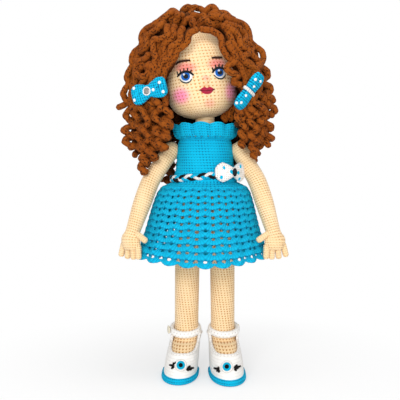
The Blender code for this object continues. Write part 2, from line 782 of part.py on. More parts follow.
def leg_profile():
    """Return the leg from its round top to the foot that fills the shoe."""
    angles = [math.radians(degrees) for degrees in (90, 67, 45, 22, 0)]
    top = [
        (LEG_RADIUS * math.cos(angle), HIP_AXIS_HEIGHT + LEG_RADIUS * math.sin(angle))
        for angle in angles
    ]
    top[0] = (0, top[0][1])
    calf = HIP_AXIS_HEIGHT + (SHOE_RIM_HEIGHT - HIP_AXIS_HEIGHT) * LEG_CALF_SHARE
    shin = SHOE_RIM_HEIGHT + STRAP_BAND + STRAP_THICKNESS
    foot = [
        (radius, max(height, SHOE_BASE_HEIGHT))
        for radius, height in offset_profile(shoe_profile(), -SHOE_WALL - FOOT_GAP)
    ]
    return top + [(LEG_RADIUS, calf), (ANKLE_RADIUS, shin)] + foot + [(0, SHOE_BASE_HEIGHT)]


def build_leg(side, name, torso_joint):
    """Add one leg with its foot and its shoe, hinged at the hip."""
    pivot = Vector((side * HIP_HALF_SPACING, 0, HIP_AXIS_HEIGHT))
    joint = add_joint(f"hip_{name}_axis", pivot, torso_joint)
    place = leg_spot(side)
    mesh = moved(moved(turned(leg_profile(), 2 * FINE_STEPS), toed), place)
    bore = cord_bore(HIP_HALF_SPACING, HIP_AXIS_HEIGHT)
    add_piece(f"leg_{name}", cut(mesh, bore), "skin", joint)
    build_shoe(side, name, place, joint)


def build_shoe(side, name, place, joint):
    """Add the sole, the upper with its vamp opening, the strap, button and eye."""
    edge = SHOE_RADIUS + SOLE_EDGE
    bevel = SOLE_EDGE
    profile = [
        (0, SOLE_THICKNESS), (edge - bevel, SOLE_THICKNESS), (edge, SOLE_THICKNESS - bevel),
        (edge, bevel), (edge - bevel, 0), (0, 0),
    ]
    sole = moved(moved(turned(profile, 2 * FINE_STEPS), toed), place)
    add_piece(f"shoe_sole_{name}", sole, "blue", joint)
    outline = [
        (radius, max(height, SHOE_BASE_HEIGHT))
        for radius, height in shell_profile(shoe_profile(), -SHOE_WALL, 0)
    ]
    upper = moved(turned(outline, 2 * FINE_STEPS, ring=True), toed)
    reach = SHOE_RADIUS + TOE_REACH + OVERRUN - VAMP_FROM
    vamp = rod(1, reach, "Y", (0, 0, 0), 2 * FINE_STEPS)
    rise = SHOE_RIM_HEIGHT - VAMP_EDGE_HEIGHT
    vamp.transform(Matrix.Diagonal((VAMP_HALF_WIDTH, 1, rise, 1)))
    vamp.transform(Matrix.Translation((0, -VAMP_FROM - reach / 2, SHOE_RIM_HEIGHT)))
    add_piece(f"shoe_upper_{name}", moved(cut(upper, vamp), place), "white", joint)
    middle = SHOE_RIM_HEIGHT + GAP + STRAP_BAND / 2
    strap_radius = ANKLE_RADIUS + GAP + STRAP_THICKNESS / 2
    angles = [math.tau * index / STRAP_STEPS for index in range(STRAP_STEPS)]
    outline = [
        (
            strap_radius + STRAP_THICKNESS / 2 * math.cos(angle),
            middle - STRAP_BAND / 2 * math.sin(angle),
        )
        for angle in angles
    ]
    strap = moved(turned(outline, 2 * FINE_STEPS, ring=True), place)
    add_piece(f"ankle_strap_{name}", strap, "white", joint)
    build_button(side, name, place, joint, strap_radius + STRAP_THICKNESS / 2, middle)
    build_eye(name, place, joint)


def build_button(side, name, place, joint, radius, height):
    """Add the button on the outer side of the strap."""
    angle = BUTTON_AZIMUTH
    outward = Vector((side * math.cos(angle), math.sin(angle), 0))
    front, back = BUTTON_EDGE_SHARES
    profile = [
        (0, BUTTON_THICKNESS), (BUTTON_RADIUS * front, BUTTON_THICKNESS),
        (BUTTON_RADIUS, BUTTON_THICKNESS / 2), (BUTTON_RADIUS * back, 0), (0, 0),
    ]
    mesh = turned(profile, FINE_STEPS)
    turn = outward.to_track_quat("Z", "Y").to_matrix().to_4x4()
    spot = outward * (radius + GAP) + Vector((0, 0, height))
    mesh.transform(Matrix.Translation(spot) @ turn)
    add_piece(f"strap_button_{name}", moved(mesh, place), "cream", joint)


def build_eye(name, place, joint):
    """Add the round eye on the toe: a ring that follows the dome, and its pupil."""
    height = EYE_SHARE * TOE_TOP_HEIGHT
    profile = shoe_profile()
    step = TOE_TOP_HEIGHT / BODY_STEPS

    def front(level):
        radii = [Vector((radius, high)) for radius, high in profile]
        upper, lower = next(pair for pair in zip(radii, radii[1:]) if pair[1].y <= level)
        share = (level - lower.y) / (upper.y - lower.y)
        return lower.x + (upper.x - lower.x) * share + toe_shift(level)

    slope = (front(height - step) - front(height + step)) / (2 * step)
    normal = Vector((0, -1, slope)).normalized()
    bend = front(height) / (2 * (SHOE_RADIUS * EYE_BEND_SHARE) ** 2)
    inner = EYE_PUPIL_RADIUS + GAP
    top, base = EYE_EDGE_SHARES
    outline = [
        (inner, EYE_RING_THICKNESS), (EYE_RING_RADIUS * top, EYE_RING_THICKNESS),
        (EYE_RING_RADIUS, EYE_RING_THICKNESS / 2), (EYE_RING_RADIUS * base, 0), (inner, 0),
    ]
    ring = turned(outline, LIMB_STEPS, ring=True)
    pupil = ball(EYE_PUPIL_RADIUS, FINE_STEPS)
    pupil.transform(Matrix.Translation((0, 0, EYE_PUPIL_RADIUS)))
    turn = normal.to_track_quat("Z", "Y").to_matrix().to_4x4()
    spot = Vector((0, -front(height), height)) + normal * 2 * GAP

    def settle(point):
        return Vector((point.x, point.y, point.z - bend * point.x**2))

    for piece, mesh, finish in (("ring", ring, "deep_blue"), ("pupil", pupil, "black")):
        mesh = moved(mesh, settle)
        mesh.transform(Matrix.Translation(spot) @ turn)
        add_piece(f"shoe_eye_{piece}_{name}", moved(mesh, place), finish, joint)


# Head and hair


def tilted(mesh):
    """Lean the head on its neck, as the doll holds it."""
    pivot = Vector((0, 0, HEAD_PIVOT_HEIGHT))
    turn = Matrix.Rotation(HEAD_TILT, 4, "Y")
    mesh.transform(Matrix.Translation(pivot) @ turn @ Matrix.Translation(-pivot))
    return mesh


def head_form(grow):
    """Return the head's form, upright, grown outwards by an amount."""
    skull_power, chin_power = FACE_POWERS
    mesh = ball(1, BODY_STEPS)

    def shape(point):
        power = skull_power if point.z > 0 else chin_power
        height = HEAD_RISE if point.z > 0 else HEAD_DROP
        flat = math.hypot(point.x, point.y)
        size = (flat**power + abs(point.z) ** power) ** (1 / power)
        return Vector((
            point.x / size * (HEAD_HALF_WIDTH + grow),
            point.y / size * (HEAD_HALF_DEPTH + grow),
            point.z / size * (height + grow) + HEAD_MIDDLE_HEIGHT,
        ))

    return moved(mesh, shape)


def neck_room():
    """Return the cutter for the neck and the dowel inside the head."""
    depth = NECK_IN_HEAD + GAP + OVERRUN
    middle = NECK_TOP_HEIGHT + GAP - depth / 2
    room = rod(NECK_RADIUS + GAP, depth, "Z", (0, 0, middle), BODY_STEPS)
    top = dowel_foot() + DOWEL_LENGTH + GAP
    length = top - CHIN_HEIGHT + OVERRUN
    bore = rod(DOWEL_RADIUS + BORE_GAP, length, "Z", (0, 0, top - length / 2))
    return joined(room, bore)


def build_head(joint):
    """Add the stuffed head with its nose."""
    mesh = head_form(0)
    nose = ball(NOSE_RADIUS, FINE_STEPS)
    nose.transform(Matrix.Translation((0, -HEAD_HALF_DEPTH, NOSE_HEIGHT)))
    nose.transform(Matrix.Rotation(HEAD_TURN, 4, "Z"))
    mesh = tilted(joined(mesh, nose))
    add_piece("head", cut(mesh, neck_room()), "skin", joint)


def build_cap(joint):
    """Add the cap that carries the hair, open at the face and the nape."""
    mesh = head_form(GAP + CAP_THICKNESS)
    reach = HEAD_HALF_DEPTH + OVERRUN
    face = rod(1, reach, "Y", (0, 0, 0), BODY_STEPS)
    rise = FACE_TOP_HEIGHT - FACE_MIDDLE_HEIGHT
    face.transform(Matrix.Diagonal((FACE_HALF_WIDTH, 1, rise, 1)))
    face.transform(Matrix.Translation((0, -FACE_FROM - reach / 2, FACE_MIDDLE_HEIGHT)))
    mesh = cut(mesh, face)
    side = HEAD_HALF_WIDTH + OVERRUN
    nape = block((-side, -side, CHIN_HEIGHT - OVERRUN), (side, side, CAP_NAPE_HEIGHT))
    mesh = cut(cut(mesh, nape), head_form(GAP))
    add_piece("hair_cap", tilted(mesh), "hair", joint)


def hair_profile():
    """Return the outline of the inner hair, from the crown down, as vectors."""
    rise = HAIR_TOP_HEIGHT - HAIR_SIDE_HEIGHT
    return [
        Vector((HAIR_RADIUS * wide, HAIR_SIDE_HEIGHT + rise * high))
        for wide, high in HAIR_PROFILE_SHARES
    ]


def spread(point):
    """Widen the turned hair to each side, and flatten it from front to back."""
    side = 1 if point.x > 0 else -1
    deep = HAIR_DEPTH_SHARE if point.y > 0 else HAIR_FRONT_DEPTH_SHARE
    return Vector((point.x * HAIR_SPREADS[side], point.y * deep, point.z))


def hair_place(side, azimuth, share, lift):
    """Return a point above the inner hair, and the direction away from it."""
    profile = hair_profile()
    here = between(profile, share)
    step = 2 * PATH_STEP_SHARE
    along = (between(profile, share + step) - between(profile, share - step)).normalized()
    angle = math.radians(azimuth)
    across = Vector((side * math.cos(angle), math.sin(angle), 0))
    away = across * -along.y + Vector((0, 0, along.x))
    base = spread(across * here.x + Vector((0, 0, here.y)))
    return base + away * lift, away


def build_under_hair(joint):
    """Add the inner locks as three masses round the cap."""
    outline = [(point.x, point.y) for point in hair_profile()]
    outline += [
        (HAIR_INNER_RADIUS, HAIR_SIDE_HEIGHT), (HAIR_INNER_RADIUS, HAIR_CHIN_HEIGHT),
        (0, HAIR_CHIN_HEIGHT),
    ]
    mesh = moved(turned(outline, BODY_STEPS + 4), spread)
    mesh = cut(mesh, tilted(head_form(3 * GAP + CAP_THICKNESS)))
    half = HAIR_FRONT_HALF_WIDTH
    low = HAIR_SIDE_HEIGHT - OVERRUN
    far = 2 * HAIR_RADIUS
    face = rod(1, far, "Y", (0, 0, 0), BODY_STEPS)
    rise = HAIR_FRINGE_HEIGHT - HAIR_CHIN_HEIGHT
    face.transform(Matrix.Diagonal((half, 1, rise, 1)))
    face.transform(Matrix.Translation((0, -HAIR_FRONT_FROM - far / 2, HAIR_CHIN_HEIGHT)))
    below = block((-half, -far, low), (half, -HAIR_FRONT_FROM, HAIR_CHIN_HEIGHT))
    mesh = cut(mesh, joined(face, below))
    high = HAIR_TOP_HEIGHT + OVERRUN
    middle = GAP / 2
    regions = {
        "hair_under_left": ((middle, -far, low), (far, HAIR_BACK_FROM - GAP, high)),
        "hair_under_right": ((-far, -far, low), (-middle, HAIR_BACK_FROM - GAP, high)),
        "hair_under_back": ((-far, HAIR_BACK_FROM, low), (far, far, high)),
    }
    for name, (start, end) in regions.items():
        part = combined(mesh.copy(), block(start, end), "INTERSECT")
        add_piece(name, part, "hair", joint)


def walk(path, count):
    """Return points spread evenly along a smooth curve through a path, with its length."""
    many = PATH_FINENESS * count
    fine = [between(path, index / many) for index in range(many + 1)]
    lengths = [0]
    for before, after in zip(fine, fine[1:]):
        lengths.append(lengths[-1] + (after - before).length)
    result = []
    index = 0
    for step in range(count):
        target = lengths[-1] * step / (count - 1)
        while index < len(lengths) - 2 and lengths[index + 1] < target:
            index += 1
        part = (target - lengths[index]) / (lengths[index + 1] - lengths[index])
        result.append(fine[index].lerp(fine[index + 1], part))
    return result, lengths[-1]


def lock_points(path, across, curls, strand_points):
    """Return the points of one lock: a strand along a path that ends in curls."""
    fine, length = walk(path, PATH_POINTS)
    coil = curls * CURL_PITCH
    strand = length - coil
    marks = [strand * index / strand_points for index in range(strand_points)]
    count = curls * POINTS_PER_CURL
    marks += [strand + coil * index / count for index in range(count + 1)]
    points = []
    for mark in marks:
        share = mark / length
        here = between(fine, share)
        step = PATH_STEP_SHARE
        along = (between(fine, share + step) - between(fine, share - step)).normalized()
        side = (across - along * across.dot(along)).normalized()
        turn = math.tau * (mark - strand) / CURL_PITCH
        size = CURL_RADIUS * min(max((mark - strand) / (CURL_PITCH * CURL_START_SHARE), 0), 1)
        offset = side * math.cos(turn) + along.cross(side) * math.sin(turn)
        points.append(here + offset * size)
    run = (points[-1] - points[-2]).normalized() * 2 * LOCK_RADIUS
    return points + [points[-1] + run]


def own_gap(points, radius):
    """Return the least gap between parts of a tube that don't follow each other."""
    least = math.inf
    for index, point in enumerate(points):
        travelled = 0
        for before, after in zip(points[index:], points[index + 1 :]):
            travelled += (after - before).length
            if travelled > math.pi * CURL_RADIUS:
                least = min(least, (after - point).length - 2 * radius)
    return least


def build_lock(name, path, across, joint, curls=CURLS_PER_LOCK, strand_points=STRAND_POINTS):
    """Add one corkscrew lock and return its least gap to itself."""
    points = lock_points(path, across, curls, strand_points)
    mesh = tube(points, LOCK_RADIUS, LOCK_ROUNDNESS)
    add_piece(name, mesh, "hair", joint)
    return own_gap(points, LOCK_RADIUS)


def hanging_path(side, azimuth, root_share, tail_height, sink):
    """Return the path of a lock that follows the hair down and hangs free below it."""
    path = []
    for index in range(HANGING_POINTS + 1):
        share = index / HANGING_POINTS
        lift = LOCK_RADIUS + LOCK_CLEARANCE - sink + CURL_RADIUS * share**2
        spot, _ = hair_place(side, azimuth, root_share + (1 - root_share) * share, lift)
        path.append(spot)
    low = path[-1].copy()
    low.z = tail_height + 2 * LOCK_RADIUS
    return path + [(path[-1] + low) / 2, low]


def build_locks(joint):
    """Add the outer locks: beside the face, behind, and across the top."""
    gaps = []
    sides = ((1, "left"), (-1, "right"))
    settings = list(zip(LOCK_AZIMUTHS, LOCK_ROOT_SHARES, LOCK_TAIL_HEIGHTS, LOCK_SINKS))
    for side, name in sides:
        for index, (azimuth, root, tail, sink) in enumerate(settings, 1):
            angle = math.radians(azimuth)
            across = Vector((-math.sin(angle), side * math.cos(angle), 0))
            path = hanging_path(side, azimuth, root, tail, sink)
            gaps.append(build_lock(f"curl_{name}_{index}", path, across, joint))
    for index, (azimuth, sink) in enumerate(zip(BACK_LOCK_AZIMUTHS, BACK_LOCK_SINKS), 1):
        angle = math.radians(azimuth)
        across = Vector((-math.sin(angle), math.cos(angle), 0))
        path = hanging_path(1, azimuth, BACK_LOCK_ROOT_SHARE, BACK_LOCK_TAIL_HEIGHT, sink)
        gaps.append(build_lock(f"curl_back_{index}", path, across, joint))
    height = HAIR_TOP_HEIGHT + CURL_RADIUS + LOCK_RADIUS + LOCK_CLEARANCE
    for index, (depth, sink) in enumerate(zip(TOP_LOCK_DEPTHS, TOP_LOCK_SINKS), 1):
        half = TOP_LOCK_HALF_LENGTH
        ends = (-half, -half / 2, 0, half / 2, half)
        path = [Vector((place, depth, height - sink)) for place in ends]
        across = Vector((0, 1, 0))
        gaps.append(build_lock(f"curl_top_{index}", path, across, joint, TOP_LOCK_CURLS, 1))
    print(f"least gap of a lock to itself: {min(gaps) * 1000:.2f} mm")


def build_bows(joint):
    """Add the two hair bows with their gem, pearl and band."""
    lift = 2 * LOCK_RADIUS + 2 * LOCK_CLEARANCE + BOW_THICKNESS / 2
    spot, _ = hair_place(-1, BOW_AZIMUTH, BOW_HEIGHT_SHARE, lift)
    turn = Matrix.Rotation(BOW_RIGHT_YAW, 4, "Z") @ Matrix.Rotation(-BOW_RIGHT_TILT, 4, "Y")
    place = Matrix.Translation(spot) @ turn
    mesh = bow(BOW_HALF_LENGTH, BOW_HEIGHT, BOW_THICKNESS)
    mesh.transform(place)
    gem = ball(1, LIMB_STEPS)
    gem.transform(Matrix.Diagonal((GEM_RADIUS, BOW_THICKNESS / 2, GEM_RADIUS, 1)))
    gem.transform(place @ Matrix.Translation((0, -BOW_THICKNESS / 2, 0)))
    pearl = ball(PEARL_RADIUS, FINGER_STEPS)
    pearl.transform(
        place @ Matrix.Translation((PEARL_SHARE * BOW_HALF_LENGTH, -BOW_THICKNESS / 2, 0))
    )
    gem = cleared(gem, mesh)
    add_piece("hair_bow_right_gem", gem, "gem", joint)
    add_piece("hair_bow_right_pearl", cleared(cleared(pearl, mesh), gem), "pearl", joint)
    add_piece("hair_bow_right", mesh, "blue", joint)
    lift += BOW_HEIGHT / 2 * math.sin(BOW_LEFT_TURN) * BOW_LEFT_LIFT_SHARE
    spot, _ = hair_place(1, BOW_AZIMUTH, BOW_HEIGHT_SHARE, lift)
    turn = Matrix.Rotation(-BOW_LEFT_TILT, 4, "Y") @ Matrix.Rotation(BOW_LEFT_TURN, 4, "X")
    place = Matrix.Translation(spot) @ turn
    mesh = bow(BOW_HALF_LENGTH, BOW_HEIGHT, BOW_THICKNESS)
    mesh.transform(place)
    deep, high = BAND_SHARES
    band = rod(1, BAND_WIDTH, "X", (0, 0, 0), 2 * FINE_STEPS)
    band.transform(Matrix.Diagonal((1, BOW_THICKNESS * deep, BOW_HEIGHT * high, 1)))
    band.transform(place)
    add_piece("hair_bow_left_band", cleared(band, mesh), "white", joint)
    add_piece("hair_bow_left", mesh, "blue", joint)


def centre_on_origin(root):
    """Move the whole doll so that its origin is under its middle, on the floor."""
    bpy.context.view_layer.update()
    corners = [
        item.matrix_world @ vertex.co
        for item in PIECES.objects
        if item.type == "MESH"
        for vertex in item.data.vertices
    ]
    low = Vector([min(corner[axis] for corner in corners) for axis in range(3)])
    high = Vector([max(corner[axis] for corner in corners) for axis in range(3)])
    middle = (low + high) / 2
    root.location -= Vector((middle.x, middle.y, low.z))
    bpy.context.view_layer.update()


def main():
    """Build the doll from its torso out."""
    root = add_joint("doll_origin", (0, 0, 0), None)
    build_torso(root)
    build_cords(root)
    build_bodice(root)
    build_ruffle(root)
    build_skirt(root)
    build_belt(root)
    for side, name in ((1, "left"), (-1, "right")):
        build_arm(side, name, root)
        build_leg(side, name, root)
    neck = add_joint("neck_axis", Vector((0, 0, HEAD_PIVOT_HEIGHT)), root)
    build_head(neck)
    build_cap(neck)
    build_under_hair(neck)
    build_locks(neck)
    build_bows(neck)
    centre_on_origin(root)
    for name in JOINTS:
        place = bpy.data.objects[name].matrix_world.translation * 1000
        print(f"{name}: {place.x:.2f} {place.y:.2f} {place.z:.2f} mm")


for old in list(bpy.data.objects):
    bpy.data.objects.remove(old, do_unlink=True)
PIECES = make_collection("amigurumi_doll")
CUTTERS = make_collection("amigurumi_doll_cutters", hidden=True)
JOINTS = {}
main()
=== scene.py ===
"""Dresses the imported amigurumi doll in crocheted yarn, curls, beads and embroidery."""

from __future__ import annotations

import json
import logging
import math
from dataclasses import dataclass, field
from enum import Enum
from typing import Callable, Sequence

import bmesh
import bpy
import numpy as np
from mathutils import Matrix, Vector
from mathutils.bvhtree import BVHTree


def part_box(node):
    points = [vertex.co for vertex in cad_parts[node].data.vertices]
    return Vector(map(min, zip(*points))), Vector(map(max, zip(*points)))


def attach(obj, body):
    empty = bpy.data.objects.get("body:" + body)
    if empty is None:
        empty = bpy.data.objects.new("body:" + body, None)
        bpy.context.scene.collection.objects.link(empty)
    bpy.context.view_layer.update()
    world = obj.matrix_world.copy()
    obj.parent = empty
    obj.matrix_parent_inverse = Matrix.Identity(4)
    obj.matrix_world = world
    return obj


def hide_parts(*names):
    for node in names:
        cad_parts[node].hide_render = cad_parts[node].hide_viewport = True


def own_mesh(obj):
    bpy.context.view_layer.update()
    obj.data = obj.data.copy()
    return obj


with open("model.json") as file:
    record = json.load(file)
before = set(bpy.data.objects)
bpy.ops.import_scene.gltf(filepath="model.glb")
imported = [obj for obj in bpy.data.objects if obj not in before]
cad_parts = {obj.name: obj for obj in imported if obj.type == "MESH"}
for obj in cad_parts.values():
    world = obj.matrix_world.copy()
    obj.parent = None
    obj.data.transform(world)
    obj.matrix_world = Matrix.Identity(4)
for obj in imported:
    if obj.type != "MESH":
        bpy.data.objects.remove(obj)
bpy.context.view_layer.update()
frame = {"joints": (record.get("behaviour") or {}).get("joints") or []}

log = logging.getLogger("doll")

MM = 0.001
PX = 1.08 * MM  # one pixel of the photograph at the doll's own depth
AXIS_COLUMN = 205.0  # pixel column of the doll's upright axis
IMAGE_SIDE = 400
WELD = 1e-6

Array = np.ndarray
Surface = Callable[[Array, Array], Array]
Relief = Callable[[Array, Array], Array]


def joint_place(name: str) -> Vector:
    """Return where a joint of the record lies."""
    return Vector(next(joint["pos_m"] for joint in frame["joints"] if joint["name"] == name))


NECK = joint_place("neck_turn")
SIDES = {"left": 1, "right": -1}


# Small mathematics


def smooth(value: Array, low: float, high: float) -> Array:
    """Return a smooth step from nothing at low to one at high."""
    share = np.clip((value - low) / (high - low), 0, 1)
    return share * share * (3 - 2 * share)


def unit(vectors: Array) -> Array:
    """Return vectors made one long."""
    length = np.linalg.norm(vectors, axis=-1, keepdims=True)
    return vectors / np.maximum(length, 1e-12)


def spline(points: Sequence[Sequence[float]], count: int = 400, measured: int = 3) -> Array:
    """Return rows at even spacing along a smooth curve.

    Args:
        points: The rows that the curve runs through: places, then other values.
        count: How many rows to return.
        measured: How many of the first values give the spacing.

    Returns:
        An array of count rows.
    """
    knots = np.array(points, float)
    padded = np.vstack([2 * knots[0] - knots[1], knots, 2 * knots[-1] - knots[-2]])
    place = np.linspace(0, len(knots) - 1, 8 * count)
    index = np.minimum(place.astype(int), len(knots) - 2)
    part = (place - index)[:, None]
    a, b, c, d = (padded[index + step] for step in range(4))
    fine = 0.5 * (
        2 * b + (c - a) * part + (2 * a - 5 * b + 4 * c - d) * part**2
        + (3 * b - a - 3 * c + d) * part**3
    )
    moves = np.diff(fine[:, :measured], axis=0)
    run = np.concatenate([[0], np.cumsum(np.linalg.norm(moves, axis=1))])
    even = np.linspace(0, run[-1], count)
    return np.stack([np.interp(even, run, column) for column in fine.T], axis=1)


def read(table: Array, share: Array) -> Array:
    """Read rows of an even table at shares of its length."""
    places = np.linspace(0, 1, len(table))
    return np.stack([np.interp(share, places, column) for column in table.T], axis=-1)


def turn_about(points: Array, pivot: Sequence[float], axis: str, angle: float) -> Array:
    """Return points turned about an axis through a pivot."""
    matrix = np.array(Matrix.Rotation(angle, 3, axis))
    middle = np.array(pivot)
    return (points - middle) @ matrix.T + middle


# Camera


@dataclass(frozen=True)
class PhotoCamera:
    """The camera that the photograph was taken with, in the doll's frame."""

    distance: float = 0.740
    height: float = 0.228
    pitch: float = math.radians(1.4)
    focal_px: float = 686.6
    shift: float = -0.05
    sensor_mm: float = 36.0

    @property
    def place(self) -> Vector:
        """Return the camera's place."""
        side = (IMAGE_SIDE / 2 - AXIS_COLUMN) * PX
        return Vector((NECK.x + side, NECK.y - self.distance, self.height))

    @property
    def axes(self) -> tuple[Vector, Vector, Vector]:
        """Return the camera's right, up and forward directions."""
        lean, level = math.sin(self.pitch), math.cos(self.pitch)
        return Vector((1, 0, 0)), Vector((0, lean, level)), Vector((0, level, -lean))

    @property
    def middle_row(self) -> float:
        """Return the pixel row of the lens's axis."""
        return IMAGE_SIDE / 2 + self.shift * IMAGE_SIDE

    def pixels(self, points: Array) -> Array:
        """Return the pixel column and row of each point."""
        right, up, ahead = (np.array(axis) for axis in self.axes)
        away = points - np.array(self.place)
        depth = away @ ahead
        column = IMAGE_SIDE / 2 + self.focal_px * (away @ right) / depth
        row = self.middle_row - self.focal_px * (away @ up) / depth
        return np.stack([column, row], axis=-1)

    def ray(self, column: float, row: float) -> tuple[Vector, Vector]:
        """Return the start and direction of the ray through a pixel."""
        right, up, ahead = self.axes
        across = (column - IMAGE_SIDE / 2) / self.focal_px
        above = (self.middle_row - row) / self.focal_px
        return self.place, (ahead + right * across + up * above).normalized()

    def at_depth(self, column: float, row: float, depth_y: float) -> Vector:
        """Return the point seen at a pixel, on the plane with a given y."""
        start, way = self.ray(column, row)
        return start + way * ((depth_y - start.y) / way.y)

    def build(self) -> None:
        """Add the camera and make it the scene's."""
        data = bpy.data.cameras.new("photo_camera")
        data.sensor_width = self.sensor_mm
        data.lens = self.focal_px / IMAGE_SIDE * self.sensor_mm
        data.shift_y = self.shift
        data.clip_start = 0.01
        item = bpy.data.objects.new("photo_camera", data)
        item.location = self.place
        item.rotation_euler = (math.pi / 2 - self.pitch, 0, 0)
        bpy.context.collection.objects.link(item)
        bpy.context.scene.camera = item


CAMERA = PhotoCamera()


# Finishes


class Nodes:
    """A short way to write a material's node tree."""

    def __init__(self, name: str) -> None:
        """Start a material with its surface shader."""
        self.material = bpy.data.materials.new(name)
        self.material.use_nodes = True
        self.tree = self.material.node_tree
        self.shader = self.tree.nodes["Principled BSDF"]

    def add(self, kind: str, **settings: object) -> bpy.types.Node:
        """Add a node with its settings."""
        node = self.tree.nodes.new(kind)
        for key, value in settings.items():
            setattr(node, key, value)
        return node

    def wire(self, source: bpy.types.NodeSocket, target: bpy.types.NodeSocket) -> None:
        """Join two sockets."""
        self.tree.links.new(source, target)

    def sum(self, operation: str, first: object, second: object = 0.0) -> bpy.types.NodeSocket:
        """Return the result of a calculation on sockets or numbers."""
        node = self.add("ShaderNodeMath", operation=operation)
        for socket, value in zip(node.inputs, (first, second)):
            if isinstance(value, bpy.types.NodeSocket):
                self.wire(value, socket)
            else:
                socket.default_value = value
        return node.outputs[0]

    def mix(self, factor: object, first: object, second: object,
            blend: str = "MIX") -> bpy.types.NodeSocket:
        """Return a mix of two colours, each a socket or a tuple."""
        node = self.add("ShaderNodeMix", data_type="RGBA", blend_type=blend)
        for socket, value in zip((node.inputs[0], node.inputs[6], node.inputs[7]),
                                 (factor, first, second)):
            if isinstance(value, bpy.types.NodeSocket):
                self.wire(value, socket)
            elif isinstance(value, tuple):
                socket.default_value = (*value, 1)
            else:
                socket.default_value = value
        return node.outputs[2]

    def noise(self, scale: float, detail: float = 2.0) -> bpy.types.NodeSocket:
        """Return the height of a noise in metres of the object."""
        place = self.add("ShaderNodeTexCoord").outputs["Object"]
        node = self.add("ShaderNodeTexNoise")
        node.inputs["Scale"].default_value = scale
        node.inputs["Detail"].default_value = detail
        self.wire(place, node.inputs["Vector"])
        return node.outputs["Fac"]

    def attribute(self, name: str, output: str = "Fac") -> bpy.types.NodeSocket:
        """Return an attribute of the mesh."""
        return self.add("ShaderNodeAttribute", attribute_name=name).outputs[output]

    def bump(self, height: bpy.types.NodeSocket, distance: float, strength: float) -> None:
        """Raise the surface by a height."""
        node = self.add("ShaderNodeBump")
        node.inputs["Strength"].default_value = strength
        node.inputs["Distance"].default_value = distance
        self.wire(height, node.inputs["Height"])
        self.wire(node.outputs["Normal"], self.shader.inputs["Normal"])

    def set(self, **values: object) -> None:
        """Set the shader's own sockets, named with underscores for spaces."""
        for key, value in values.items():
            socket = self.shader.inputs[key.replace("_", " ")]
            socket.default_value = (*value, 1) if isinstance(value, tuple) else value


@dataclass(frozen=True)
class YarnFinish:
    """Matte cotton yarn, with painted shade between its stitches."""

    name: str
    slot: str
    colour: tuple[float, float, float]
    crevice_shade: tuple[float, float, float]
    light: tuple[float, float, float]
    sheen: float = 0.25
    fleck: float = 0.35  # how far the fibres differ in colour
    pits: float = 0.0  # how dark the painted shade in the gaps between small stitches is
    tinted: bool = False  # also coloured by the mesh's own tint

    def material(self) -> bpy.types.Material:
        """Return the yarn's material, made once."""
        found = bpy.data.materials.get(self.name)
        if found:
            return found
        nodes = Nodes(self.name)
        relief = nodes.attribute("relief")
        fibre = nodes.noise(2600.0, 3.0)
        patch = nodes.noise(45.0, 2.0)
        high = nodes.mix(patch, self.colour, self.light)
        ply = self.ply(nodes)
        twist = nodes.sum("MULTIPLY", nodes.sum("SUBTRACT", ply, 0.5), 0.30)
        level = nodes.sum("ADD", relief, twist)
        ramp = nodes.add("ShaderNodeMapRange", interpolation_type="SMOOTHSTEP")
        ramp.inputs["From Min"].default_value = -0.05
        ramp.inputs["From Max"].default_value = 0.72
        nodes.wire(level, ramp.inputs["Value"])
        # Painted shade: where the relief is low, between the stitches, the darker shade colour is mixed
        # in.
        colour = nodes.mix(ramp.outputs[0], self.crevice_shade, high)
        if self.tinted:
            tint = nodes.attribute("tint", "Color")
            colour = nodes.mix(1.0, colour, tint, "MULTIPLY")
        share = nodes.sum("MULTIPLY", fibre, self.fleck)
        dark = nodes.mix(share, (1.0, 1.0, 1.0), (0.62, 0.62, 0.62))
        colour = nodes.mix(1.0, colour, dark, "MULTIPLY")
        height = nodes.sum("ADD", nodes.sum("MULTIPLY", fibre, 0.5), ply)
        # Painted shade in the small gaps between the stitches, which the bump also dents.
        if self.pits:
            hole = self.holes(nodes)
            colour = nodes.mix(nodes.sum("MULTIPLY", hole, self.pits), colour, self.crevice_shade)
            height = nodes.sum("SUBTRACT", height, nodes.sum("MULTIPLY", hole, 2.5))
        nodes.wire(colour, nodes.shader.inputs["Base Color"])
        nodes.set(Roughness=0.92, Sheen_Weight=self.sheen, Sheen_Roughness=0.5,
                  Specular_IOR_Level=0.2)
        nodes.bump(height, 0.00022, 0.8)
        return nodes.material

    @staticmethod
    def holes(nodes: Nodes) -> bpy.types.NodeSocket:
        """Return the small gaps between stitches, 1 in a gap, in stitch coordinates."""
        place = nodes.add("ShaderNodeTexCoord").outputs["UV"]
        cells = nodes.add("ShaderNodeTexVoronoi", feature="F1")
        cells.inputs["Scale"].default_value = 1.6
        cells.inputs["Randomness"].default_value = 0.75
        nodes.wire(place, cells.inputs["Vector"])
        near = nodes.add("ShaderNodeMapRange", interpolation_type="SMOOTHSTEP")
        near.inputs["From Min"].default_value = 0.20
        near.inputs["From Max"].default_value = 0.44
        near.inputs["To Min"].default_value = 1.0
        near.inputs["To Max"].default_value = 0.0
        nodes.wire(cells.outputs["Distance"], near.inputs["Value"])
        return near.outputs[0]

    @staticmethod
    def ply(nodes: Nodes) -> bpy.types.NodeSocket:
        """Return the twist of the yarn's plies, in the piece's stitch coordinates."""
        place = nodes.add("ShaderNodeTexCoord").outputs["UV"]
        wave = nodes.add("ShaderNodeTexWave", wave_type="BANDS", bands_direction="DIAGONAL")
        wave.inputs["Scale"].default_value = 1.1
        wave.inputs["Distortion"].default_value = 1.5
        wave.inputs["Detail"].default_value = 1.0
        wave.inputs["Detail Scale"].default_value = 2.0
        nodes.wire(place, wave.inputs["Vector"])
        return wave.outputs["Fac"]


